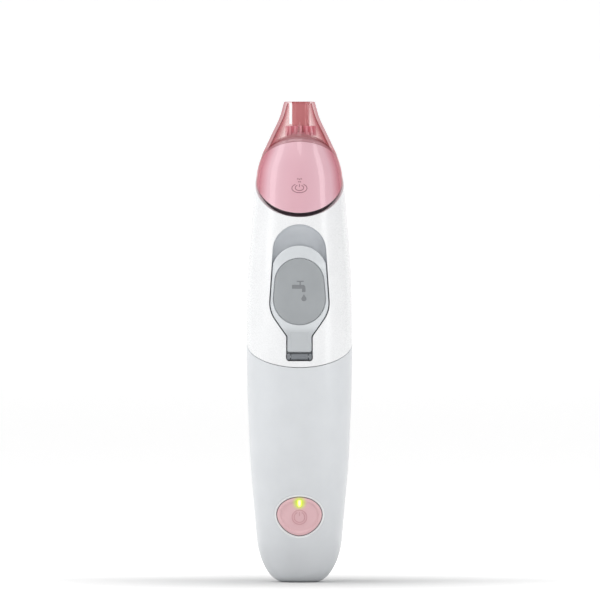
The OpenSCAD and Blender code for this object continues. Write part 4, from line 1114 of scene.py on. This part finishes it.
WIDE, FRONT, BACK, RISE, CURVE = 8.0, -8.0, 8.0, 4.0, 1.0
sweep_turns = np.radians(np.arange(7.5, 91, 7.5))
profile = [(FRONT, 0.0), (BACK - CURVE, 0.0)]
profile += [(BACK - CURVE + CURVE * math.sin(t), CURVE * (1 - math.cos(t))) for t in sweep_turns]
profile += [(BACK, RISE)]
floor_data = bpy.data.meshes.new("floor")
floor_data.from_pydata([(x, y, z) for y, z in profile for x in (-WIDE, WIDE)], [],
                       [(2 * i, 2 * i + 1, 2 * i + 3, 2 * i + 2) for i in range(len(profile) - 1)])
for face in floor_data.polygons:
    face.use_smooth = True
floor = bpy.data.objects.new("floor", floor_data)
bpy.context.scene.collection.objects.link(floor)
paper, tree, shader = finish_material("white_paper_sweep", Roughness=0.95)
shader.inputs["Base Color"].default_value = linear("#e4e4e4")
shader.inputs["Emission Color"].default_value = (1, 1, 1, 1)
# The paper glows softly but for the place near the foot, which keeps the foot's own shade
place = add(tree, "ShaderNodeTexCoord").outputs["Object"]
spot = add(tree, "ShaderNodeVectorMath", links={0: place}, operation="LENGTH")
lift = add(tree, "ShaderNodeMapRange", {"From Min": 0.025, "From Max": 0.13, "To Max": 0.5},
           {"Value": spot.outputs["Value"]})
tree.links.new(lift.outputs["Result"], shader.inputs["Emission Strength"])
floor_data.materials.append(paper)

world = bpy.data.worlds.new("studio")
bpy.context.scene.world = world
world.use_nodes = True
sky = world.node_tree
across = add(sky, "ShaderNodeSeparateXYZ", links={0: add(sky, "ShaderNodeTexCoord").outputs["Generated"]})
level = add(sky, "ShaderNodeMapRange", {"From Min": -0.8, "From Max": 0.8, "To Min": 0.64, "To Max": 0.42},
            {"Value": across.outputs["X"]})
sky.links.new(level.outputs["Result"], sky.nodes["Background"].inputs["Strength"])
sky.nodes["Background"].inputs["Color"].default_value = (1, 1, 1, 1)


def soft_box(name, azimuth, away, height, size, radiance, aim_z=0.1):
    """A soft box at an azimuth from the front, turned to face the object."""
    data = bpy.data.lights.new(name, "AREA")
    data.shape = "RECTANGLE"
    data.size, data.size_y = size
    data.energy = radiance * math.pi * size[0] * size[1]
    made = bpy.data.objects.new(name, data)
    made.location = (away * math.sin(azimuth), -away * math.cos(azimuth), height)
    ray = Vector((0, 0, aim_z)) - made.location
    made.rotation_euler = ray.to_track_quat("-Z", "Y").to_euler()
    made.visible_camera = False
    bpy.context.scene.collection.objects.link(made)


soft_box("left_box", math.radians(-80), 1.2, 0.75, (0.42, 1.3), 1.9)
soft_box("right_strip", math.radians(68), 1.2, 0.6, (0.32, 1.3), 2.5)
soft_box("overhead", math.radians(-25), 0.55, 1.7, (1.2, 0.9), 2.2)
